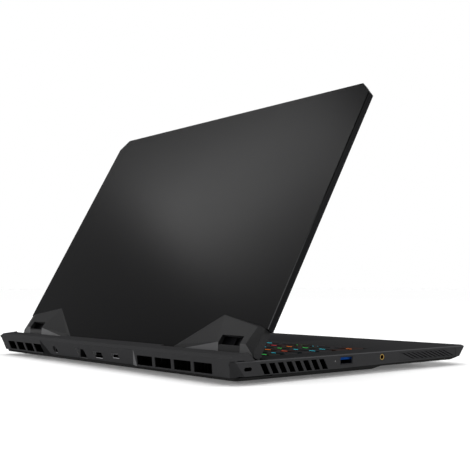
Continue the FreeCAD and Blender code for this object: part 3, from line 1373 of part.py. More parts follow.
def make_lid():
    back = new_body("lid_back_cover")
    slab = pad(back, "back_slab", "XY_Plane", lid_outline(), d.lid_split, d.lid_outer - d.lid_split)
    bevel(back, "lid_edge_bevel", slab, d.lid_bevel,
          lambda point: abs(point.z - d.lid_outer.value) < tiny
          and point.y < tiny - cheek_high.value - d.lid_seam.value)
    depth = d.lid_outer - d.lid_skin - d.lid_split
    a = lid_half - d.lid_rim
    inner_top = d.lid_rim - lid_reach
    b = a - d.lid_room_corner
    inner_low = -cheek_high - d.lid_rim
    room = [(-a, inner_low), (-a, inner_top + d.lid_room_corner), (-b, inner_top), (b, inner_top),
            (a, inner_top + d.lid_room_corner), (a, inner_low)]
    pocket(back, "back_room", "XY_Plane", room, d.lid_split, depth, reverse=True)
    arm_x = d.barrel_inner_x + d.barrel_length + d.barrel_gap
    for name, side in sides.items():
        x0, x1 = mirrored(arm_x - d.overlap, arm_x + d.arm_leaf_width + d.overlap, side)
        pocket(back, f"arm_way_{name}", "XY_Plane",
               rectangle(x0, x1, inner_low - d.overlap, d.overlap), d.lid_split, depth, reverse=True)
        notch_end = d.cover_notch_x + d.cover_notch_width
        n0, n1 = mirrored(d.cover_notch_x + d.lid_seam, notch_end - d.lid_seam, side)
        pocket(back, f"notch_way_{name}", "XY_Plane",
               rectangle(n0, n1, d.lid_seam - d.cover_notch_u, size(0)), d.lid_outer + d.overlap, d.lid_outer)
    sub_part("lid_back_cover", back, turned=True)

    bezel = new_body("display_bezel")
    bezel_high = d.lid_split - d.lid_seam
    pad(bezel, "bezel_slab", "XY_Plane", lid_outline(), d.lid_inner, bezel_high - d.lid_inner)
    s = d.screen_width / 2
    pocket(bezel, "screen_window", "XY_Plane",
           rectangle(-s, s, -d.screen_low - d.screen_height, -d.screen_low), bezel_high, d.lid_outer)
    p = panel_half + d.inner_gap
    pocket(bezel, "panel_seat", "XY_Plane",
           rectangle(-p, p, -panel_high_u - d.inner_gap, -panel_low_u + d.inner_gap), bezel_high,
           bezel_high - panel_low_v)
    c = d.camera_half + d.inner_gap
    camera_mid = (panel_high_u + lid_reach) / 2
    camera_tall = (lid_reach - panel_high_u) / 2 - d.camera_margin
    pocket(bezel, "camera_seat", "XY_Plane",
           rectangle(-c, c, -camera_mid - camera_tall - d.inner_gap, -panel_high_u), bezel_high,
           bezel_high - panel_low_v)
    bore(bezel, "lens_hole", "XY_Plane", (0, -camera_mid), d.camera_lens + d.inner_gap, bezel_high,
         d.lid_outer)
    sub_part("display_bezel", bezel, turned=True)

    panel = box("display_panel_block", -panel_half, panel_half, -panel_high_u, -panel_low_u, 0,
                d.panel_thickness)
    bind(panel, Placement_of_Base_of_z=panel_low_v)
    sub_part("display_panel", group("display_panel", [panel]), turned=True)
    module = box("camera_block", -d.camera_half, d.camera_half, -camera_mid - camera_tall,
                 -camera_mid + camera_tall,
                 panel_low_v, bezel_high)
    lens = cylinder("camera_lens", "z", (0, -camera_mid, d.lid_inner + d.camera_sink), d.camera_lens,
                    d.bezel_lip)
    sub_part("webcam_module", fuse("webcam_module", module, lens), turned=True)
    bumper_low = d.lid_inner - d.bumper_height
    out_y = d.bumper_edge - lid_reach
    strips = [box("bumper_top", -lid_half / 3, lid_half / 3, out_y, out_y + d.bumper_width, bumper_low,
                  d.lid_inner)]
    side_y = d.bumper_side_inset - lid_reach
    for name, side in sides.items():
        x0, x1 = mirrored(lid_half - d.bumper_edge - d.bumper_width, lid_half - d.bumper_edge, side)
        strips.append(box(f"bumper_{name}", x0, x1, side_y, side_y + d.bumper_length, bumper_low,
                          d.lid_inner))
    sub_part("bezel_bumpers", group("bezel_bumpers", strips), turned=True)


def make_hinge_covers():
    """Faceted covers over the hinge knuckles, each with a notch, a lip and a cheek round the lid's corner."""
    flat = d.lid_outer
    top = flat + d.cover_rise
    slope = d.cover_rise / (d.cover_apex_u - d.cover_ridge_u)
    outer_top = flat + slope * (d.cover_apex_u - d.cover_outer_u)
    shoulder_x = lid_end - d.cover_end_bevel
    tip_x = d.cover_inner_x + d.cover_end_bevel
    for name, side in sides.items():
        corners = [
            (d.cover_inner_x, d.cover_tip_u, flat), (d.cover_apex_x, d.cover_apex_u, flat),
            (shoulder_x, d.cover_outer_u, outer_top),
            (shoulder_x + d.cover_shoulder_run, d.cover_outer_u + d.cheek_drop, flat),
            (lid_end, cheek_high, flat), (tip_x, d.cover_tip_u + d.cover_tip_lift, flat + d.cover_tip_rise),
            (d.cover_ridge_x, d.cover_ridge_u, top),
            (shoulder_x - d.cover_shoulder_run, d.cover_ridge_u, top),
            (lid_end, d.cover_ridge_u - d.cover_end_drop, flat + d.cover_end_rise),
            (lid_end, -d.cover_low, flat),
            (d.cover_inner_x + d.cover_tip_run, -d.cover_low, flat),
        ]
        points = [Vector(size(x).value * side, -size(u).value, size(v).value) for x, u, v in corners]
        shell = doc.addObject("Part::Feature", f"cover_shell_{name}")
        shell.Shape = faceted(points)
        x0, x1 = mirrored(d.cover_notch_x, d.cover_notch_x + d.cover_notch_width, side)
        notch = box(f"cover_notch_{name}", x0, x1, -d.cover_notch_u, -d.cover_lip_u, flat - d.overlap,
                    top + d.cut_past)
        lip = box(f"cover_lip_{name}", x0, x1, -d.cover_lip_u - d.overlap, d.cut_past * 2,
                  top - d.cover_lip_depth, top + d.cut_past)
        cover = cut(f"cover_cut_{name}", shell, notch, lip)
        c0, c1 = mirrored(lid_end - d.cheek_width, lid_end, side)
        cheek = box(f"cover_cheek_{name}", c0, c1, -cheek_high, d.cover_low, d.lid_inner, flat)
        sub_part(f"hinge_cover_{name}", fuse(f"hinge_cover_{name}", cover, cheek), turned=True)


def turn_lid():
    for piece in turned_parts:
        piece.Placement = Placement(Vector(0, d.hinge_y.value, d.hinge_z.value),
                                    Rotation(Vector(-1, 0, 0), d.rest_opening.value))
        bind(piece, Placement_of_Base_of_y=d.hinge_y, Placement_of_Base_of_z=d.hinge_z,
             Placement_of_Rotation_of_Angle=d.rest_opening)


def write_parts():
    os.makedirs("parts", exist_ok=True)
    for target in doc.Objects:
        if "Invalid" in target.State or "Error" in target.State:
            raise RuntimeError(f"{target.Name}: {target.State}")
    for label, target in parts.items():
        shape = target.Shape
        if shape.isNull() or not shape.isValid():
            raise RuntimeError(f"{label}: bad shape")
        shape.exportStep(f"parts/{label}.step")
        print(label, len(shape.Solids), round(shape.Volume))


cutters = corner_cutters()
make_top_case(cutters)
make_rear_cover(cutters)
make_bottom_cover(cutters)
make_screws()
make_feet()
make_keyboard()
make_touchpad()
make_side_ports()
make_speakers()
make_rear_ports()
make_inside()
make_fans()
make_hinges()
make_lid()
make_hinge_covers()
turn_lid()
doc.recompute()
write_parts()
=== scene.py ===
import math
import bmesh
import bpy
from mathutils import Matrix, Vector


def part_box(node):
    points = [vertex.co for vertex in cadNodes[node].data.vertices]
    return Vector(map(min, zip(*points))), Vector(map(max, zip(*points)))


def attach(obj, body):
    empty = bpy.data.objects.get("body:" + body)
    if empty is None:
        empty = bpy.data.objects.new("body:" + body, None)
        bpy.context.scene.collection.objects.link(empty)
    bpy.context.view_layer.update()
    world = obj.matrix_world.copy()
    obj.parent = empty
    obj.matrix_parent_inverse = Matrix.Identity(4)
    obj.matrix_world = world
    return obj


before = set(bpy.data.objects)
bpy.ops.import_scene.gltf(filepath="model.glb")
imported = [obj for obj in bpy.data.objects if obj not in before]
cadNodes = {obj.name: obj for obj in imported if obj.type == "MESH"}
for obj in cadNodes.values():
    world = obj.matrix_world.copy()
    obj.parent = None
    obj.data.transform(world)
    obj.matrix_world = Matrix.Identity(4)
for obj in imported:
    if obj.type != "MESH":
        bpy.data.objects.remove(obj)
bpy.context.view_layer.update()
mm = 0.001
print("frame loaded:", len(cadNodes), "nodes")


# node helpers: a value is either a plain number or tuple, or the output of another node

def setSocket(tree, socket, value):
    if isinstance(value, bpy.types.NodeSocket):
        tree.links.new(value, socket)
    elif socket.type == "RGBA":
        socket.default_value = (*value, 1)
    else:
        socket.default_value = value


def mathNode(tree, operation, *values):
    node = tree.nodes.new("ShaderNodeMath")
    node.operation = operation
    for socket, value in zip(node.inputs, values):
        setSocket(tree, socket, value)
    return node.outputs[0]


def vectorNode(tree, operation, *values):
    node = tree.nodes.new("ShaderNodeVectorMath")
    node.operation = operation
    for socket, value in zip(node.inputs, values):
        setSocket(tree, socket, value)
    return node.outputs["Value" if operation in ("DOT_PRODUCT", "LENGTH") else "Vector"]


def mixColour(tree, factor, first, second):
    node = tree.nodes.new("ShaderNodeMix")
    node.data_type = "RGBA"
    for place, value in ((0, factor), (6, first), (7, second)):  # the mix node's colour sockets
        setSocket(tree, node.inputs[place], value)
    return node.outputs[2]


def coordinate(tree, output="Object"):
    return tree.nodes.new("ShaderNodeTexCoord").outputs[output]


def splitVector(tree, vector):
    split = tree.nodes.new("ShaderNodeSeparateXYZ")
    tree.links.new(vector, split.inputs[0])
    return split.outputs


def joinVector(tree, **values):
    join = tree.nodes.new("ShaderNodeCombineXYZ")
    for label, value in values.items():
        setSocket(tree, join.inputs[label], value)
    return join.outputs[0]


def between(tree, value, low, high):
    return mathNode(tree, "MULTIPLY", mathNode(tree, "GREATER_THAN", value, low),
                    mathNode(tree, "LESS_THAN", value, high))


def newGroup(name, inputs, outputs):
    group = bpy.data.node_groups.new(name, "ShaderNodeTree")
    for side, sockets in (("INPUT", inputs), ("OUTPUT", outputs)):
        for label, kind in sockets.items():
            group.interface.new_socket(name=label, in_out=side, socket_type="NodeSocket" + kind)
    source = group.nodes.new("NodeGroupInput").outputs
    target = group.nodes.new("NodeGroupOutput").inputs
    return group, source, target


def placeGroup(tree, group, values):
    node = tree.nodes.new("ShaderNodeGroup")
    node.node_tree = group
    for label, value in values.items():
        setSocket(tree, node.inputs[label], value)
    return node.outputs


# fine moulded or blasted grain with soft handling marks over it
grainValues = {"grainDetail": 3, "grainShare": 0.4,
               "smudgeScale": 14, "smudgeDetail": 4, "smudgeShare": 0.6}


def buildGrainGroup(values):
    group, source, target = newGroup(
        "satinGrain",
        {"Tone": "Color", "Fleck": "Color", "Scale": "Float",
         "Rough Low": "Float", "Rough High": "Float"},
        {"Color": "Color", "Roughness": "Float", "Height": "Float"})
    place = coordinate(group)
    grain = group.nodes.new("ShaderNodeTexNoise")
    smudge = group.nodes.new("ShaderNodeTexNoise")
    for noise, scale, detail in ((grain, source["Scale"], values["grainDetail"]),
                                 (smudge, values["smudgeScale"], values["smudgeDetail"])):
        setSocket(group, noise.inputs["Vector"], place)
        setSocket(group, noise.inputs["Scale"], scale)
        setSocket(group, noise.inputs["Detail"], detail)
    fine, soft = grain.outputs["Fac"], smudge.outputs["Fac"]
    blend = mathNode(group, "ADD", mathNode(group, "MULTIPLY", fine, values["grainShare"]),
                     mathNode(group, "MULTIPLY", soft, values["smudgeShare"]))
    spread = mathNode(group, "SUBTRACT", source["Rough High"], source["Rough Low"])
    rough = mathNode(group, "ADD", source["Rough Low"], mathNode(group, "MULTIPLY", blend, spread))
    colour = mixColour(group, fine, source["Tone"], source["Fleck"])
    group.links.new(colour, target["Color"])
    group.links.new(rough, target["Roughness"])
    group.links.new(fine, target["Height"])
    return group


def buildEdgeGroup():
    # faces at a slant to Up, between Low and High, take a tone of their own, which the finishes
    # here use for painted highlight and painted shade
    group, source, target = newGroup(
        "slantPaintedLight",
        {"Color": "Color", "Edge Color": "Color", "Up": "Vector", "Low": "Float", "High": "Float"},
        {"Color": "Color"})
    slant = vectorNode(group, "DOT_PRODUCT", coordinate(group, "Normal"), source["Up"])
    edge = between(group, slant, source["Low"], source["High"])
    group.links.new(mixColour(group, edge, source["Color"], source["Edge Color"]), target["Color"])
    return group


# the inside of slots and openings, behind the face that they are cut in, takes a tone of its own:
# painted shade in vents, slots and the hinge trough, painted light on the port walls
wallFacing = 0.7  # what faces out more than this belongs to the face itself
noLimit = 1.0  # metres, past every piece
ventLimits = {"Span": noLimit, "Front": -noLimit, "Top": noLimit,
              "Clear Low": noLimit, "Clear High": noLimit}


def buildVentGroup():
    group, source, target = newGroup(
        "openingLightAndShade",
        {"Color": "Color", "Inner Color": "Color", "Facing": "Vector", "Wall": "Float",
         "Span": "Float", "Front": "Float", "Top": "Float",
         "Clear Low": "Float", "Clear High": "Float"},
        {"Color": "Color"})
    place = splitVector(group, coordinate(group))
    normal = splitVector(group, coordinate(group, "Normal"))
    wide = mathNode(group, "ABSOLUTE", place["X"])  # the left side is treated as the right
    placeOut = joinVector(group, X=wide, Y=place["Y"], Z=place["Z"])
    normalOut = joinVector(group, X=mathNode(group, "ABSOLUTE", normal["X"]),
                           Y=normal["Y"], Z=normal["Z"])
    depth = vectorNode(group, "DOT_PRODUCT", placeOut, source["Facing"])
    facing = vectorNode(group, "DOT_PRODUCT", normalOut, source["Facing"])
    beside = mathNode(group, "MAXIMUM",
                      mathNode(group, "LESS_THAN", place["X"], source["Clear Low"]),
                      mathNode(group, "GREATER_THAN", place["X"], source["Clear High"]))
    mask = mathNode(group, "LESS_THAN", facing, wallFacing)
    for test in (mathNode(group, "LESS_THAN", depth, source["Wall"]),
                 mathNode(group, "LESS_THAN", wide, source["Span"]),
                 mathNode(group, "GREATER_THAN", place["Y"], source["Front"]),
                 mathNode(group, "LESS_THAN", place["Z"], source["Top"]),
                 beside):
        mask = mathNode(group, "MULTIPLY", mask, test)
    group.links.new(mixColour(group, mask, source["Color"], source["Inner Color"]), target["Color"])
    return group


def buildMouthGroup():
    # a shell edge at a socket's mouth, with painted shade over the hole and everything deeper
    group, source, target = newGroup(
        "socketMouth",
        {"Shell Color": "Color", "Hole Color": "Color", "Centre": "Vector", "Reach": "Vector",
         "Roundness": "Float", "Axis": "Vector", "Rim Start": "Float"},
        {"Color": "Color", "Hole": "Float"})
    place = coordinate(group)
    offset = vectorNode(group, "SUBTRACT", place, source["Centre"])
    away = vectorNode(group, "ABSOLUTE", vectorNode(group, "DIVIDE", offset, source["Reach"]))
    sides = splitVector(group, away)
    square = mathNode(group, "MAXIMUM", mathNode(group, "MAXIMUM", sides["X"], sides["Y"]),
                      sides["Z"])
    ring = mathNode(group, "SUBTRACT", vectorNode(group, "LENGTH", away), square)
    spread = mathNode(group, "ADD", square, mathNode(group, "MULTIPLY", ring, source["Roundness"]))
    depth = vectorNode(group, "DOT_PRODUCT", vectorNode(group, "ABSOLUTE", place), source["Axis"])
    hole = mathNode(group, "MAXIMUM", mathNode(group, "LESS_THAN", spread, 1.0),
                    mathNode(group, "LESS_THAN", depth, source["Rim Start"]))
    group.links.new(mixColour(group, hole, source["Shell Color"], source["Hole Color"]),
                    target["Color"])
    group.links.new(hole, target["Hole"])
    return group


grainGroup = buildGrainGroup(grainValues)
edgeGroup = buildEdgeGroup()
ventGroup = buildVentGroup()
mouthGroup = buildMouthGroup()

# what a finish has unless its own dictionary says otherwise, bump depth in mm
commonLook = {"specular": 0.0, "scale": 2600, "bump": 0.05, "bumpDepth": 0.1}


def finishMaterial(name, ownLook):
    look = {**commonLook, **ownLook}
    material = bpy.data.materials.new(name)
    material.use_nodes = True
    tree = material.node_tree
    surface = tree.nodes["Principled BSDF"]
    surface.inputs["Specular IOR Level"].default_value = look["specular"]
    roughLow, roughHigh = look["rough"]
    grain = placeGroup(tree, grainGroup, {"Tone": look["tone"], "Fleck": look["fleck"],
                                          "Scale": look["scale"], "Rough Low": roughLow,
                                          "Rough High": roughHigh})
    tree.links.new(grain["Color"], surface.inputs["Base Color"])
    tree.links.new(grain["Roughness"], surface.inputs["Roughness"])
    bump = tree.nodes.new("ShaderNodeBump")
    bump.inputs["Strength"].default_value = look["bump"]
    bump.inputs["Distance"].default_value = look["bumpDepth"] * mm
    tree.links.new(grain["Height"], bump.inputs["Height"])
    tree.links.new(bump.outputs["Normal"], surface.inputs["Normal"])
    return material, tree, surface, grain


def dress(nodeName, material):
    mesh = cadNodes[nodeName].data
    mesh.materials.clear()
    mesh.materials.append(material)


# plain finishes and the pieces that have them
plainLooks = {
    "floorBlack": {"tone": (0.013, 0.013, 0.013), "fleck": (0.018, 0.018, 0.018),
                   "rough": (0.55, 0.7),
                   "pieces": ["bottom_cover"]},
    "bezelBlack": {"tone": (0.006, 0.006, 0.0065), "fleck": (0.010, 0.010, 0.011),
                   "rough": (0.5, 0.65), "specular": 0.004,
                   "pieces": ["display_bezel", "webcam_module", "touchpad_bracket",
                              "keyboard_plate"]},
    "screenDark": {"tone": (0.006, 0.006, 0.008), "fleck": (0.008, 0.008, 0.011),
                   "rough": (0.12, 0.2), "specular": 0.25, "bump": 0.0,
                   "pieces": ["display_panel"]},
    "footRubber": {"tone": (0.010, 0.010, 0.010), "fleck": (0.018, 0.018, 0.018),
                   "rough": (0.7, 0.9), "scale": 900, "specular": 0.02,
                   "pieces": ["rubber_feet", "bezel_bumpers"]},
    "touchSurface": {"tone": (0.020, 0.020, 0.021), "fleck": (0.026, 0.026, 0.028),
                     "rough": (0.4, 0.5),
                     "pieces": ["touchpad"]},
    "grilleMatt": {"tone": (0.022, 0.022, 0.023), "fleck": (0.032, 0.032, 0.033),
                   "rough": (0.5, 0.65),
                   "pieces": ["speaker_grille_left", "speaker_grille_right",
                              "speaker_left", "speaker_right"]},
    "grilleBlack": {"tone": (0.012, 0.012, 0.0125), "fleck": (0.018, 0.018, 0.019),
                    "rough": (0.5, 0.7),
                    "pieces": ["fan_housing_left", "fan_housing_right",
                               "impeller_left", "impeller_right"]},
    "hingeBlack": {"tone": (0.005, 0.005, 0.0055), "fleck": (0.008, 0.008, 0.009),
                   "rough": (0.45, 0.6),
                   "pieces": ["hinge_bracket_left", "hinge_bracket_right",
                              "hinge_arm_left", "hinge_arm_right", "bottom_screws"]},
    # fins near black: painted shade inside the vents
    "finShadeBlack": {"tone": (0.004, 0.004, 0.0043), "fleck": (0.007, 0.007, 0.0075),
                 "rough": (0.5, 0.65),
                 "pieces": ["rear_fins_left", "rear_fins_right",
                            "side_fins_left", "side_fins_right"]},
    # copper darkened far below its own tone: painted shade inside the vents
    "pipeCopper": {"tone": (0.020, 0.009, 0.005), "fleck": (0.032, 0.014, 0.008),
                   "rough": (0.4, 0.55),
                   "pieces": ["cold_plates", "heat_pipes"]},
    "boardGreen": {"tone": (0.006, 0.022, 0.013), "fleck": (0.010, 0.034, 0.020),
                   "rough": (0.4, 0.6), "specular": 0.1,
                   "pieces": ["mainboard", "ssd", "memory_modules", "wireless_card",
                              "rear_port_board", "left_port_board", "right_port_board"]},
    "cellWrap": {"tone": (0.012, 0.012, 0.013), "fleck": (0.018, 0.018, 0.020),
                 "rough": (0.35, 0.5), "specular": 0.1,
                 "pieces": ["battery"]},
}

for lookName, look in plainLooks.items():
    material = finishMaterial(lookName, look)[0]
    for nodeName in look["pieces"]:
        dress(nodeName, material)
print("plain finishes placed")

# lid sheet; its narrow slanted edges carry a painted highlight low down on its sides that fades
# with height into painted shade, which the other edges have too; heights in mm
lidLook = {"tone": (0.0054, 0.0054, 0.0056), "fleck": (0.0080, 0.0080, 0.0083),
           "rough": (0.22, 0.28), "specular": 0.0045, "bump": 0.02,
           "tiltDegrees": 59.8, "edgeLow": 0.5, "edgeHigh": 0.9,
           "edgeHighlightTone": (0.07, 0.07, 0.072), "rimShadeTone": (0.003, 0.003, 0.0031),
           "sideFacing": 0.3, "brightTo": 60.0, "darkFrom": 140.0}


def lidFinish(look):
    material, tree, surface, grain = finishMaterial("lidBlack", look)
    across = splitVector(tree, coordinate(tree, "Normal"))["X"]
    height = splitVector(tree, coordinate(tree))["Z"]
    onSide = mathNode(tree, "GREATER_THAN", mathNode(tree, "ABSOLUTE", across), look["sideFacing"])
    lowDown = mathNode(tree, "DIVIDE", mathNode(tree, "SUBTRACT", look["darkFrom"] * mm, height),
                       (look["darkFrom"] - look["brightTo"]) * mm)
    lowDown = mathNode(tree, "MAXIMUM", mathNode(tree, "MINIMUM", lowDown, 1.0), 0.0)
    # painted highlight on the lower side edges, painted shade on all other edges
    edgeColour = mixColour(tree, mathNode(tree, "MULTIPLY", onSide, lowDown),
                           look["rimShadeTone"], look["edgeHighlightTone"])
    tilt = math.radians(look["tiltDegrees"])
    edged = placeGroup(tree, edgeGroup, {
        "Color": grain["Color"], "Edge Color": edgeColour,
        "Up": (0, math.sin(tilt), math.cos(tilt)),
        "Low": look["edgeLow"], "High": look["edgeHigh"]})
    tree.links.new(edged["Color"], surface.inputs["Base Color"])
    return material


dress("lid_back_cover", lidFinish(lidLook))

# hinge covers, with a painted highlight on the strip along their foot on both sides of the notch,
# weaker past the notch and left out under it, places in mm
coverLook = {"tone": (0.018, 0.018, 0.0185), "fleck": (0.026, 0.026, 0.0265),
             "rough": (0.26, 0.34), "specular": 0.002,
             "stripFacing": (0, 0.998, 0.058), "stripLow": 0.985, "stripHigh": 1.1,
             "stripHighlightTone": (0.08, 0.08, 0.082), "sillTone": (0.022, 0.022, 0.0225),
             "outerHighlightTone": (0.055, 0.055, 0.056), "notchFrom": 136.5, "notchTo": 160.5}


def coverFinish(look):
    material, tree, surface, grain = finishMaterial("coverSatin", look)
    across = mathNode(tree, "ABSOLUTE", splitVector(tree, coordinate(tree))["X"])
    # painted highlight on the foot strip, weaker past the notch, none under the notch
    stripColour = look["stripHighlightTone"]
    for place, tone in (("notchFrom", "sillTone"), ("notchTo", "outerHighlightTone")):
        beyond = mathNode(tree, "GREATER_THAN", across, look[place] * mm)
        stripColour = mixColour(tree, beyond, stripColour, look[tone])
    edged = placeGroup(tree, edgeGroup, {
        "Color": grain["Color"], "Edge Color": stripColour, "Up": look["stripFacing"],
        "Low": look["stripLow"], "High": look["stripHigh"]})
    tree.links.new(edged["Color"], surface.inputs["Base Color"])
    return material


coverMaterial = coverFinish(coverLook)
for nodeName in ("hinge_cover_left", "hinge_cover_right"):
    dress(nodeName, coverMaterial)

# deck and rear shelf share one moulded finish, with painted shade inside the slots, places in mm
caseLook = {"tone": (0.024, 0.024, 0.025), "fleck": (0.034, 0.034, 0.035), "rough": (0.5, 0.65),
            # slot tone: painted shade inside slots and openings
            "slotShadeTone": (0.003, 0.003, 0.003), "slotDepth": 0.6, "slotTop": 15.0}
# edge tone: a painted highlight on the slanted bevel around the deck's rim
deckLook = {**caseLook, "edgeHighlightTone": (0.055, 0.055, 0.057), "edgeUp": (0, 0, 1),
            "edgeLow": 0.5, "edgeHigh": 0.9,
            "sideFacing": (1, 0, 0), "sideFace": 179.0, "sideFront": -100.0}


def deckFinish(look):
    material, tree, surface, grain = finishMaterial("deckMatt", look)
    # painted highlight on the deck's rim bevel
    edged = placeGroup(tree, edgeGroup, {
        "Color": grain["Color"], "Edge Color": look["edgeHighlightTone"], "Up": look["edgeUp"],
        "Low": look["edgeLow"], "High": look["edgeHigh"]})
    # painted shade on the walls of the side vent slots
    shaded = placeGroup(tree, ventGroup, {
        **ventLimits, "Color": edged["Color"], "Inner Color": look["slotShadeTone"],
        "Facing": look["sideFacing"], "Wall": (look["sideFace"] - look["slotDepth"]) * mm,
        "Front": look["sideFront"] * mm, "Top": look["slotTop"] * mm})
    tree.links.new(shaded["Color"], surface.inputs["Base Color"])
    return material


# the recess for the ports has a painted highlight on its left end and painted shade on its right
shelfLook = {**caseLook, "rearFacing": (0, 0.9578, -0.2873), "rearFace": 122.52, "rearSpan": 168.0,
             "bayEndLightAndShade": [{"facing": (1, 0, 0), "tone": (0.075, 0.075, 0.077)},
                         {"facing": (-1, 0, 0), "tone": (0.014, 0.014, 0.0145)}],
             "bayLow": 0.15, "bayHigh": 0.35, "portsFrom": -38.0, "portsTo": 82.0,
             # port tone: painted light on the walls inside the port openings
             "lightSpan": 60.0, "portLightTone": (0.16, 0.16, 0.163),
             # painted shade on every face low down in front of the shelf, in the hinge trough
             "troughFacing": 0.2,  # under wallFacing, so walls of every direction count
             "troughRear": 110.0, "troughTop": 13.0}


def shelfFinish(look):
    material, tree, surface, grain = finishMaterial("shelfMatt", look)
    colour = grain["Color"]
    # painted highlight on one end of the port recess, painted shade on the other
    for end in look["bayEndLightAndShade"]:
        colour = placeGroup(tree, edgeGroup, {
            "Color": colour, "Edge Color": end["tone"], "Up": end["facing"],
            "Low": look["bayLow"], "High": look["bayHigh"]})["Color"]
    rearWall = {"Facing": look["rearFacing"], "Top": look["slotTop"] * mm,
                "Wall": (look["rearFace"] - look["slotDepth"]) * mm}
    # painted light on the walls inside the port openings
    litPortWalls = {**rearWall, "Inner Color": look["portLightTone"], "Span": look["lightSpan"] * mm}
    # painted shade in the rear vent slots
    shadedSlots = {**rearWall, "Inner Color": look["slotShadeTone"], "Span": look["rearSpan"] * mm,
                 "Clear Low": look["portsFrom"] * mm, "Clear High": look["portsTo"] * mm}
    # painted shade in the hinge trough
    shadedTrough = {"Inner Color": look["slotShadeTone"], "Facing": (0, look["troughFacing"], 0),
                  "Wall": look["troughFacing"] * look["troughRear"] * mm,
                  "Top": look["troughTop"] * mm}
    for opening in (litPortWalls, shadedSlots, shadedTrough):
        colour = placeGroup(tree, ventGroup, {**ventLimits, "Color": colour, **opening})["Color"]
    tree.links.new(colour, surface.inputs["Base Color"])
    return material


dress("top_case", deckFinish(deckLook))
dress("rear_cover", shelfFinish(shelfLook))
print("lid, deck and shelf dressed")

# keys with short dashes of light on their rear skirts, each key in a colour of its own,
# heights and pitches in mm
keyLook = {"tone": (0.028, 0.023, 0.023), "fleck": (0.036, 0.029, 0.029), "rough": (0.5, 0.65),
           "pieces": ["key_row_1", "key_row_2", "key_row_3", "key_row_4", "key_row_5",
                      "key_row_6", "power_button"],
           "glowTop": 17.3, "glowDepth": 0.6, "topGlow": 0.006, "strength": 1.35,
           "keyPitch": 19.0, "rowPitch": 18.4, "rowShift": 0.37, "rearFacing": 0.5,
           "litShare": 0.9, "dashStart": 0.25, "dashEnd": 0.6,
           "colours": [(0.02, 0.5, 0.62), (0.05, 0.55, 0.1), (0.6, 0.04, 0.06),
                       (0.7, 0.16, 0.02), (0.02, 0.42, 0.55), (0.6, 0.08, 0.03)],
           "unlit": (0, 0, 0)}


def colourRamp(tree, factor, colours):
    ramp = tree.nodes.new("ShaderNodeValToRGB")
    ramp.color_ramp.interpolation = "CONSTANT"
    stops = ramp.color_ramp.elements
    for order, colour in enumerate(colours):
        stop = stops[0] if order == 0 else stops.new(order / len(colours))
        stop.color = (*colour, 1)
    stops.remove(stops[-1])  # the white stop of a new ramp
    tree.links.new(factor, ramp.inputs[0])
    return ramp.outputs["Color"]


def keyFinish(look):
    material, tree, surface, grain = finishMaterial("keyCaps", look)
    place = splitVector(tree, coordinate(tree))
    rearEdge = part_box("key_row_2")[1].y
    row = mathNode(tree, "FLOOR", mathNode(
        tree, "DIVIDE", mathNode(tree, "SUBTRACT", place["Y"], rearEdge), look["rowPitch"] * mm))
    across = mathNode(tree, "ADD", mathNode(tree, "DIVIDE", place["X"], look["keyPitch"] * mm),
                      mathNode(tree, "MULTIPLY", row, look["rowShift"]))
    chance = tree.nodes.new("ShaderNodeTexWhiteNoise")
    tree.links.new(joinVector(tree, X=mathNode(tree, "FLOOR", across), Y=row),
                   chance.inputs["Vector"])
    secondDraw = tree.nodes.new("ShaderNodeSeparateColor")
    tree.links.new(chance.outputs["Color"], secondDraw.inputs[0])
    lit = mathNode(tree, "LESS_THAN", secondDraw.outputs["Green"], look["litShare"])
    band = between(tree, place["Z"], (look["glowTop"] - look["glowDepth"]) * mm,
                   look["glowTop"] * mm)
    rearward = mathNode(tree, "GREATER_THAN", splitVector(tree, coordinate(tree, "Normal"))["Y"],
                        look["rearFacing"])
    dash = between(tree, mathNode(tree, "FRACT", across), look["dashStart"], look["dashEnd"])
    skirt = mathNode(tree, "MULTIPLY", mathNode(tree, "MULTIPLY", band, rearward),
                     mathNode(tree, "MULTIPLY", dash, lit))
    glow = mathNode(tree, "MAXIMUM", skirt, look["topGlow"])
    keyColour = colourRamp(tree, chance.outputs["Value"], look["colours"])
    tree.links.new(mixColour(tree, glow, look["unlit"], keyColour),
                   surface.inputs["Emission Color"])
    surface.inputs["Emission Strength"].default_value = look["strength"]
    return material


keyMaterial = keyFinish(keyLook)
for nodeName in keyLook["pieces"]:
    dress(nodeName, keyMaterial)
print("keys lit")

# sockets: a thin shell edge at the mouth, painted shade inside; sizes in mm, reach is half the hole
through = 1000.0  # a reach without an end, along the socket
faceless = (0.001, 0.001, 0.001)  # no hole in the face, so the depth alone decides
sideSocket = {"axis": (1, 0, 0), "tone": (0.022, 0.022, 0.023), "fleck": (0.032, 0.032, 0.033),
              "rough": (0.45, 0.6), "holeShadeTone": (0.004, 0.006, 0.012), "rim": 0.4,
              "centre": (0, 0, 0), "reach": faceless, "roundness": 0.0,
              "tongueTone": (0.005, 0.035, 0.16), "tongueTop": 0.45, "tongueDrop": 2.4}
rearSocket = {"axis": (0, 1, 0), "tone": (0.20, 0.20, 0.21), "fleck": (0.28, 0.28, 0.29),
              "rough": (0.4, 0.5), "holeShadeTone": (0.003, 0.003, 0.003), "rim": 0.3,
              "roundness": 0.0}
displaySocket = {**rearSocket, "centre": (-1.9, 0, 10.3), "reach": (6.0, through, 2.1)}
smallSocket = {**rearSocket, "centre": (-29.0, 0, 11.2), "reach": (4.3, through, 1.3)}
powerSocket = {**rearSocket, "tone": (0.10, 0.10, 0.105), "fleck": (0.14, 0.14, 0.145),
               "centre": (72.0, 0, 10.6), "reach": (2.6, through, 2.6), "roundness": 1.0}
networkSocket = {**rearSocket, "tone": (0.035, 0.035, 0.036), "fleck": (0.05, 0.05, 0.052),
                 "holeShadeTone": (0.01, 0.01, 0.0105), "centre": (25.8, 0, 9.9),
                 "reach": (5.7, through, 3.2)}
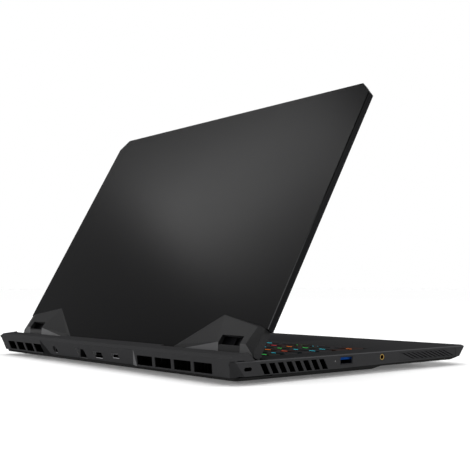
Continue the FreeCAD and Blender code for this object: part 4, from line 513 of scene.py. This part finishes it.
jackSocket = {"axis": (1, 0, 0), "tone": (0.28, 0.18, 0.05), "fleck": (0.40, 0.27, 0.08),
              "rough": (0.4, 0.5), "holeShadeTone": (0.016, 0.007, 0.003), "rim": 0.3,
              "centre": (0, -18.7, 12.2), "reach": (through, 1.75, 1.75), "roundness": 1.0,
              "collarTone": (0.028, 0.028, 0.029), "ring": 2.3}


def scaled(values):
    return tuple(value * mm for value in values)


def socketFinish(name, nodeName, look):
    material, tree, surface, grain = finishMaterial(name, look)
    low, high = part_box(nodeName)
    outermost = [max(abs(a), abs(b)) for a, b in zip(low, high)]
    mouth = Vector(look["axis"]).dot(outermost)
    values = {"Axis": look["axis"], "Rim Start": mouth - look["rim"] * mm,
              "Roundness": look["roundness"], "Centre": scaled(look["centre"]),
              "Reach": scaled(look["reach"])}
    # painted shade over the socket's inside, past the rim
    hole = placeGroup(tree, mouthGroup, {**values, "Shell Color": grain["Color"],
                                         "Hole Color": look["holeShadeTone"]})
    colour = hole["Color"]
    if "ring" in look:  # only the inner part of the ring is plated
        reach = scaled([side if side == through else look["ring"] for side in look["reach"]])
        colour = placeGroup(tree, mouthGroup, {**values, "Reach": reach, "Hole Color": colour,
                                               "Shell Color": look["collarTone"]})["Color"]
    if "tongueTone" in look:
        band = between(tree, splitVector(tree, coordinate(tree))["Z"],
                       high.z - look["tongueDrop"] * mm, high.z - look["tongueTop"] * mm)
        colour = mixColour(tree, mathNode(tree, "MULTIPLY", band, hole["Hole"]),
                           colour, look["tongueTone"])
    tree.links.new(colour, surface.inputs["Base Color"])
    return material


for nodeName, name, look in (("usb_a_left", "sideSocketLeft", sideSocket),
                             ("usb_a_right", "sideSocketRight", sideSocket),
                             ("hdmi_port", "displaySocket", displaySocket),
                             ("usb_c_port", "smallSocket", smallSocket),
                             ("dc_jack", "powerSocket", powerSocket),
                             ("network_port", "networkSocket", networkSocket),
                             ("audio_jack", "jackSocket", jackSocket)):
    dress(nodeName, socketFinish(name, nodeName, look))

# a small light beside the side socket
lightLook = {"tone": (0.10, 0.10, 0.10), "fleck": (0.14, 0.14, 0.14), "rough": (0.3, 0.4),
             "bump": 0.0, "strength": 0.1}


def lightFinish(look):
    material, tree, surface, grain = finishMaterial("lightWhite", look)
    tree.links.new(grain["Color"], surface.inputs["Emission Color"])
    surface.inputs["Emission Strength"].default_value = look["strength"]
    return material


dress("status_light", lightFinish(lightLook))
print("sockets dressed")

# a near-black sheet with a woven pattern between the shelf's ends and the side walls, standing in
# for the shade inside the vents, sizes in mm
ventShadeSheetLook = {"tone": (0.006, 0.006, 0.0062), "fleck": (0.009, 0.009, 0.0093), "rough": (0.6, 0.8),
             "threadTone": (0.012, 0.012, 0.0125), "weave": 0.5, "threadStart": 0.7,
             "side": 175.75, "thick": 0.04, "front": 95.0, "rear": 118.4,
             "low": 5.5, "high": 15.0, "columns": 24, "rows": 10}


def steps(first, last, count):
    return [first + (last - first) * step / count for step in range(count + 1)]


def ventShadeSheetFinish(look):
    # the sheet's near-black tone is painted shade inside the vents
    material, tree, surface, grain = finishMaterial("ventShadeSheetBlack", look)
    place = splitVector(tree, coordinate(tree))
    threads = [mathNode(tree, "PINGPONG", place[label], look["weave"] * mm) for label in ("Y", "Z")]
    crossing = mathNode(tree, "GREATER_THAN", mathNode(tree, "MAXIMUM", *threads),
                        look["threadStart"] * look["weave"] * mm)
    tree.links.new(mixColour(tree, crossing, grain["Color"], look["threadTone"]),
                   surface.inputs["Base Color"])
    return material


def makeVentShadeSheet(look):
    sheet = bmesh.new()
    for side in (-look["side"], look["side"]):
        grid = [[sheet.verts.new(Vector((side, along, height)) * mm)
                 for height in steps(look["low"], look["high"], look["rows"])]
                for along in steps(look["front"], look["rear"], look["columns"])]
        for near, far in zip(grid, grid[1:]):
            for row in range(look["rows"]):
                sheet.faces.new((near[row], far[row], far[row + 1], near[row + 1]))
    bmesh.ops.solidify(sheet, geom=sheet.faces[:], thickness=look["thick"] * mm)
    mesh = bpy.data.meshes.new("vent_shade_sheet")
    sheet.to_mesh(mesh)
    sheet.free()
    mesh.materials.append(ventShadeSheetFinish(look))
    shadeSheet = bpy.data.objects.new("vent_shade_sheet", mesh)
    bpy.context.scene.collection.objects.link(shadeSheet)
    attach(shadeSheet, "base")


makeVentShadeSheet(ventShadeSheetLook)
print("gauze placed")

# floor, light and camera, in metres
studio = {"floorSize": 60.0, "floorTone": (0.9, 0.9, 0.9), "floorLift": 0.12,
          "skyTone": (1, 1, 1), "horizonLight": 0.08, "zenithLight": 2.3, "zenithPower": 3.0,
          "softboxes": [{"name": "lidSheen", "place": (1.415, 0.475, 1.448), "aim": (0, 0.04, 0.13),
                         "size": (0.27, 0.72), "watts": 25.5, "glossOnly": True},
                        {"name": "rearKey", "place": (1.55, 1.15, 0.22), "aim": (0, 0.13, 0.02),
                         "size": (1.3, 0.36), "watts": 46.0, "glossOnly": False},
                        {"name": "sideKey", "place": (-1.05, -1.75, 0.3), "aim": (-0.18, 0, 0.01),
                         "size": (0.8, 0.4), "watts": 48.0, "glossOnly": False}]}


def seenRays(tree):
    path = tree.nodes.new("ShaderNodeLightPath").outputs
    mirrored = mathNode(tree, "MAXIMUM", path["Is Glossy Ray"], path["Is Transmission Ray"])
    return mathNode(tree, "MAXIMUM", path["Is Camera Ray"], mirrored)


def makeFloor():
    bpy.ops.mesh.primitive_plane_add(size=studio["floorSize"])
    floor = bpy.context.object
    floor.name = "floor"
    material = bpy.data.materials.new("floorPale")
    material.use_nodes = True
    tree = material.node_tree
    tree.nodes.clear()
    end = tree.nodes.new("ShaderNodeOutputMaterial")
    matt = tree.nodes.new("ShaderNodeBsdfDiffuse")
    setSocket(tree, matt.inputs["Color"], studio["floorTone"])
    lift = tree.nodes.new("ShaderNodeEmission")
    tree.links.new(mathNode(tree, "MULTIPLY", seenRays(tree), studio["floorLift"]),
                   lift.inputs["Strength"])
    both = tree.nodes.new("ShaderNodeAddShader")
    tree.links.new(matt.outputs[0], both.inputs[0])
    tree.links.new(lift.outputs[0], both.inputs[1])
    tree.links.new(both.outputs[0], end.inputs["Surface"])
    floor.data.materials.append(material)


def makeWorld():
    world = bpy.data.worlds.new("studio")
    bpy.context.scene.world = world
    world.use_nodes = True
    tree = world.node_tree
    tree.nodes.clear()
    end = tree.nodes.new("ShaderNodeOutputWorld")
    plain = tree.nodes.new("ShaderNodeBackground")  # lights the part, more from above
    white = tree.nodes.new("ShaderNodeBackground")  # what the camera and reflections see
    for background in (plain, white):
        setSocket(tree, background.inputs["Color"], studio["skyTone"])
    height = mathNode(tree, "MAXIMUM", splitVector(tree, coordinate(tree, "Generated"))["Z"], 0)
    climb = tree.nodes.new("ShaderNodeMapRange")
    climb.inputs["To Min"].default_value = studio["horizonLight"]
    climb.inputs["To Max"].default_value = studio["zenithLight"]
    tree.links.new(mathNode(tree, "POWER", height, studio["zenithPower"]), climb.inputs["Value"])
    tree.links.new(climb.outputs[0], plain.inputs["Strength"])
    mix = tree.nodes.new("ShaderNodeMixShader")
    tree.links.new(seenRays(tree), mix.inputs["Fac"])
    tree.links.new(plain.outputs[0], mix.inputs[1])
    tree.links.new(white.outputs[0], mix.inputs[2])
    tree.links.new(mix.outputs[0], end.inputs["Surface"])


def aimAlong(holder, direction):
    holder.rotation_euler = direction.to_track_quat("-Z", "Y").to_euler()


def makeSoftbox(box):
    light = bpy.data.lights.new(box["name"], "AREA")
    light.shape = "RECTANGLE"
    light.size, light.size_y = box["size"]
    light.energy = box["watts"]
    holder = bpy.data.objects.new(box["name"], light)
    bpy.context.scene.collection.objects.link(holder)
    holder.visible_diffuse = not box["glossOnly"]
    holder.location = box["place"]
    aimAlong(holder, Vector(box["aim"]) - Vector(box["place"]))


makeFloor()
makeWorld()
for softbox in studio["softboxes"]:
    makeSoftbox(softbox)

# place and sensor in mm, heading in degrees
cameraView = {"place": (-602.45, 482.59, 65.93), "heading": -39.80, "focalPixels": 834.5,
              "horizonRow": 287.58, "framePixels": 470, "sensor": 36, "clipStart": 10.0}


def makeCamera(view):
    camera = bpy.data.cameras.new("photoCamera")
    camera.sensor_width = view["sensor"]
    camera.lens = view["focalPixels"] / view["framePixels"] * view["sensor"]
    camera.shift_y = (view["horizonRow"] - view["framePixels"] / 2) / view["framePixels"]
    camera.clip_start = view["clipStart"] * mm
    holder = bpy.data.objects.new("photoCamera", camera)
    bpy.context.scene.collection.objects.link(holder)
    holder.location = Vector(view["place"]) * mm
    heading = math.radians(view["heading"])
    aimAlong(holder, Vector((math.cos(heading), math.sin(heading), 0)))
    bpy.context.scene.camera = holder


makeCamera(cameraView)
bpy.context.scene.view_settings.view_transform = "Standard"
print("studio set")
